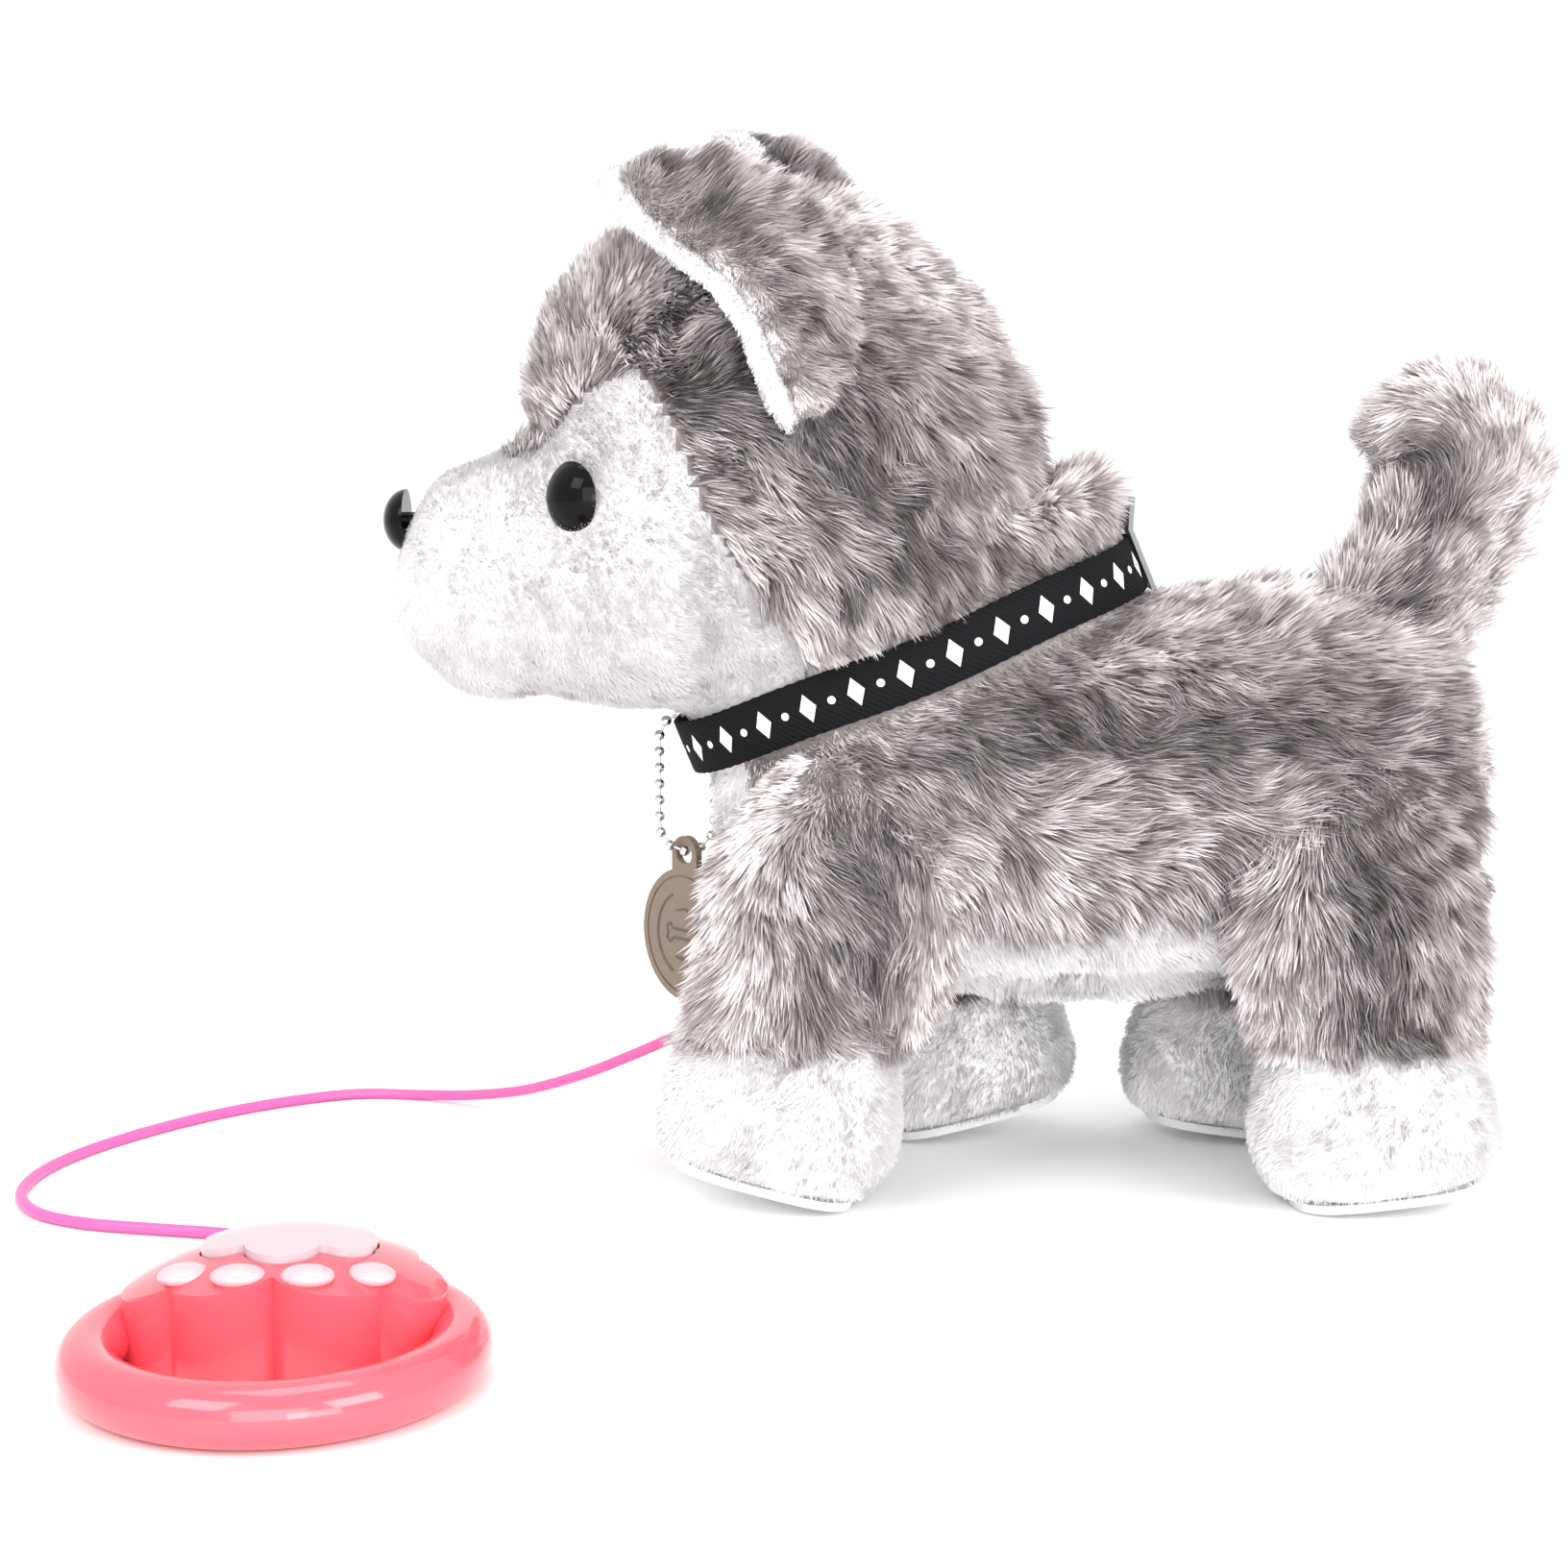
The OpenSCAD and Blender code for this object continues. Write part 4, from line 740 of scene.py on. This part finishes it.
webbing_black = new_material("webbing_black", (0.006, 0.006, 0.007), 0.75, Specular_IOR_Level=0.1)
chart = add_node(webbing_black, "UVMap", uv_map="band")
twill = add_node(webbing_black, "TexWave", wave_type="BANDS", bands_direction="DIAGONAL", Scale=0.42,
                 Distortion=0.3)
twill_bump = add_node(webbing_black, "Bump", Strength=0.5, Distance=0.0003)
wire(webbing_black, chart.outputs["UV"], twill.inputs["Vector"])
wire(webbing_black, twill.outputs["Fac"], twill_bump.inputs["Height"])
wire(webbing_black, twill_bump.outputs["Normal"], shader_of(webbing_black).inputs["Normal"])

profile = [
    (0, -5.7), (0, 5.7), (0.35, 6.0), (0.85, 6.0), (1.2, 5.7), (1.25, 0), (1.2, -5.7), (0.85, -6.0),
    (0.35, -6.0),
]
strap_points, strap_faces = [], []
for i in range(band_steps):
    run = band_run[i]
    wave = 0.12 * sin(run * 2.2)
    for lift, across in profile:
        strap_points.append(band_point(np.array(run), across + (wave if abs(across) > 5.5 else 0), lift))
for i in range(band_steps):
    here, there = i * len(profile), (i + 1) % band_steps * len(profile)
    for j in range(len(profile)):
        k = (j + 1) % len(profile)
        strap_faces.append((here + j, there + j, there + k, here + k))
strap = mesh_piece("collar_webbing", collar_place(strap_points), strap_faces, webbing_black, "root")
band_chart = strap.data.uv_layers.new(name="band")
for polygon in strap.data.polygons:
    for loop in polygon.loop_indices:
        index = strap.data.loops[loop].vertex_index
        step, corner = divmod(index, len(profile))
        if step == 0 and polygon.index // len(profile) == band_steps - 1:
            step = band_steps
        band_chart.data[loop].uv = (band_run[step], profile[corner][1])
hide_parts("collar_strap")

print_white = new_material("print_white", (0.90, 0.90, 0.90), 0.5)
print_points, print_faces = [], []


def print_shape(run, outline):
    """A printed patch on the band about a point of its middle line."""
    start = len(print_points)
    for x, y in outline:
        print_points.append(band_point(np.array(run + x), y, print_lift))
    print_faces.append(tuple(range(start, start + len(outline))))


motifs = 52
dot_radius = 0.85
diamond = [(1.9, 0), (0, 3.1), (-1.9, 0), (0, -3.1)]
dot = [(dot_radius * cos(t), dot_radius * sin(t)) for t in 2 * pi * np.arange(16) / 16]
for k in range(motifs):
    print_shape((k + 0.5) * band_length / motifs, dot if k % 2 else diamond)
mesh_piece("collar_print", collar_place(print_points), print_faces, print_white, "root")

clip_grey = new_material("clip_grey", (0.16, 0.165, 0.17), 0.45, Metallic=0.3)
grain(clip_grey, 500, 0.2)
finish_node("collar_clip", clip_grey)

# ---- Tag and bead chain ----
# A flat taupe metal disc with a raised rim, cut with two arcs, two strokes and a bone.
# It is on a nickel bead chain that hangs over the strap.

bead_nickel = new_material("bead_nickel", (0.72, 0.70, 0.68), 0.22, Metallic=1.0)
tag_taupe = new_material("tag_taupe", (0.215, 0.165, 0.125), 0.5, Metallic=0.25)
grain(tag_taupe, 1200, 0.15, 0.0001)
for node_name, finish in (("tag_chain", bead_nickel), ("name_tag", tag_taupe)):
    finish_node(node_name, finish)

tag_corners = np.array([v.co for v in frame["nodes"]["name_tag"].data.vertices]) / MM
tag_axes = np.linalg.eigh(np.cov((tag_corners - tag_corners.mean(0)).T))[1]
tag_out = tag_axes[:, 0] * (-1 if tag_axes[1, 0] > 0 else 1)
tag_side = unit(np.cross(tag_out, (0, 0, 1.0)))
tag_up = np.cross(tag_side, tag_out)
tag_radius, rim_height, line_lift = 15, 0.3, 0.33
tag_low = (tag_corners @ tag_up).min()
tag_face = (tag_corners @ tag_out).max() - rim_height
tag_middle = tag_up * (tag_low + tag_radius) + tag_side * (tag_corners @ tag_side).mean() + tag_out * tag_face
# The cut lines are raised strips drawn darker than the disc: the darker colour is painted shade for the depth
# of the cuts.
engraving_shade = new_material("engraving_shade", (0.13, 0.095, 0.07), 0.6, Metallic=0.2)
line_points, line_faces = [], []


def engrave(route, half=0.22):
    """A cut line on the face of the tag, given about the disc's middle."""
    route = np.array(route, float)
    step = unit(np.gradient(route, axis=0))
    side = np.stack([-step[:, 1], step[:, 0]], 1) * half
    start = len(line_points)
    for x, y in np.stack([route - side, route + side], 1).reshape(-1, 2):
        line_points.append(tag_middle + tag_side * x + tag_up * y + tag_out * line_lift)
    for i in range(start, start + 2 * len(route) - 2, 2):
        line_faces.append((i, i + 2, i + 3, i + 1))


arc_radius = 9.6
for start_turn, end_turn in ((-65, 65), (115, 245)):
    arc = np.radians(np.linspace(start_turn, end_turn, 40))
    engrave(arc_radius * np.stack([np.cos(arc), np.sin(arc)], 1))
bone = [(-4, -1), (-5.2, -2.2), (-6.3, -1.2), (-5.8, 0), (-6.3, 1.2), (-5.2, 2.2), (-4, 1), (4, 1),
        (5.2, 2.2), (6.3, 1.2), (5.8, 0), (6.3, -1.2), (5.2, -2.2), (4, -1), (-4, -1)]
engrave(bone)
for y in (5.2, -5.2):
    engrave([(-3, y), (0, y * 1.12), (3, y)])
mesh_piece("tag_engraving", line_points, line_faces, engraving_shade, "tag")

# ---- Eyes and nose ----
# Hard glossy black buttons of moulded plastic.
# Each sits on a shank that is pushed through the face cloth and held behind it by a washer.

button_black = new_material("button_black", (0.003, 0.003, 0.0035), 0.07, Specular_IOR_Level=0.12)
for node_name in ("eyes", "nose"):
    button = finish_node(node_name, button_black)
    button.data.polygons.foreach_set("use_smooth", [True] * len(button.data.polygons))

# ---- Hand control ----
# Two glossy coral shells, screwed together, in the shape of a paw inside a finger ring.
# The large pale pad is the push button, and four pale beans are pressed into the upper shell.

coral_gloss = new_material("coral_gloss", (0.84, 0.085, 0.115), 0.2, Coat_Weight=0.7, Coat_Roughness=0.04,
                           Specular_IOR_Level=0.3)
blush_gloss = new_material("blush_gloss", (0.50, 0.385, 0.42), 0.25, Coat_Weight=0.5, Coat_Roughness=0.06)
for node_name, finish in (("remote_top", coral_gloss), ("remote_base", coral_gloss),
                          ("pad_button", blush_gloss), ("toe_beans", blush_gloss)):
    finish_node(node_name, finish)

# ---- Finish of the pieces inside ----
# Plain moulded, pressed and turned pieces under the plush keep their own shapes.
# The filling of the head is drawn in under the cloth.

inner_finish = {
    "chassis_plastic": new_material("moulded_frame", (0.80, 0.80, 0.76), 0.5),
    "gear_plastic": new_material("moulded_acetal", (0.86, 0.85, 0.80), 0.4),
    "black_plastic": new_material("black_moulding", (0.03, 0.03, 0.03), 0.5),
    "steel": new_material("bright_steel", (0.62, 0.63, 0.65), 0.28, Metallic=1.0),
    "circuit_board": new_material("green_board", (0.02, 0.16, 0.06), 0.4),
    "cell_jacket": new_material("cell_jacket", (0.04, 0.20, 0.13), 0.35),
    "silicone": new_material("clear_silicone", (0.80, 0.80, 0.80), 0.5),
    "stuffing": new_material("stuffing", (0.9, 0.9, 0.88), 0.9),
}
for finish in inner_finish.values():
    grain(finish, 700, 0.12)
filling_inset, filling_low = 6, 157.5
points, faces = ring_tube(
    [(x, max(z, filling_low), 0, a - filling_inset, b - filling_inset)
     for x, z, lean, a, b in head_rings[3:7]])
head_filling = mesh_piece("head_filling", points, faces, inner_finish["stuffing"], "root")
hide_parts("head_stuffing")
slot_of_node = {s["node"]: s.get("material_slot") for s in frame["record"]["subparts"]}
for node_name in frame["nodes"]:
    if slot_of_node.get(node_name) in inner_finish:
        finish_node(node_name, inner_finish[slot_of_node[node_name]])
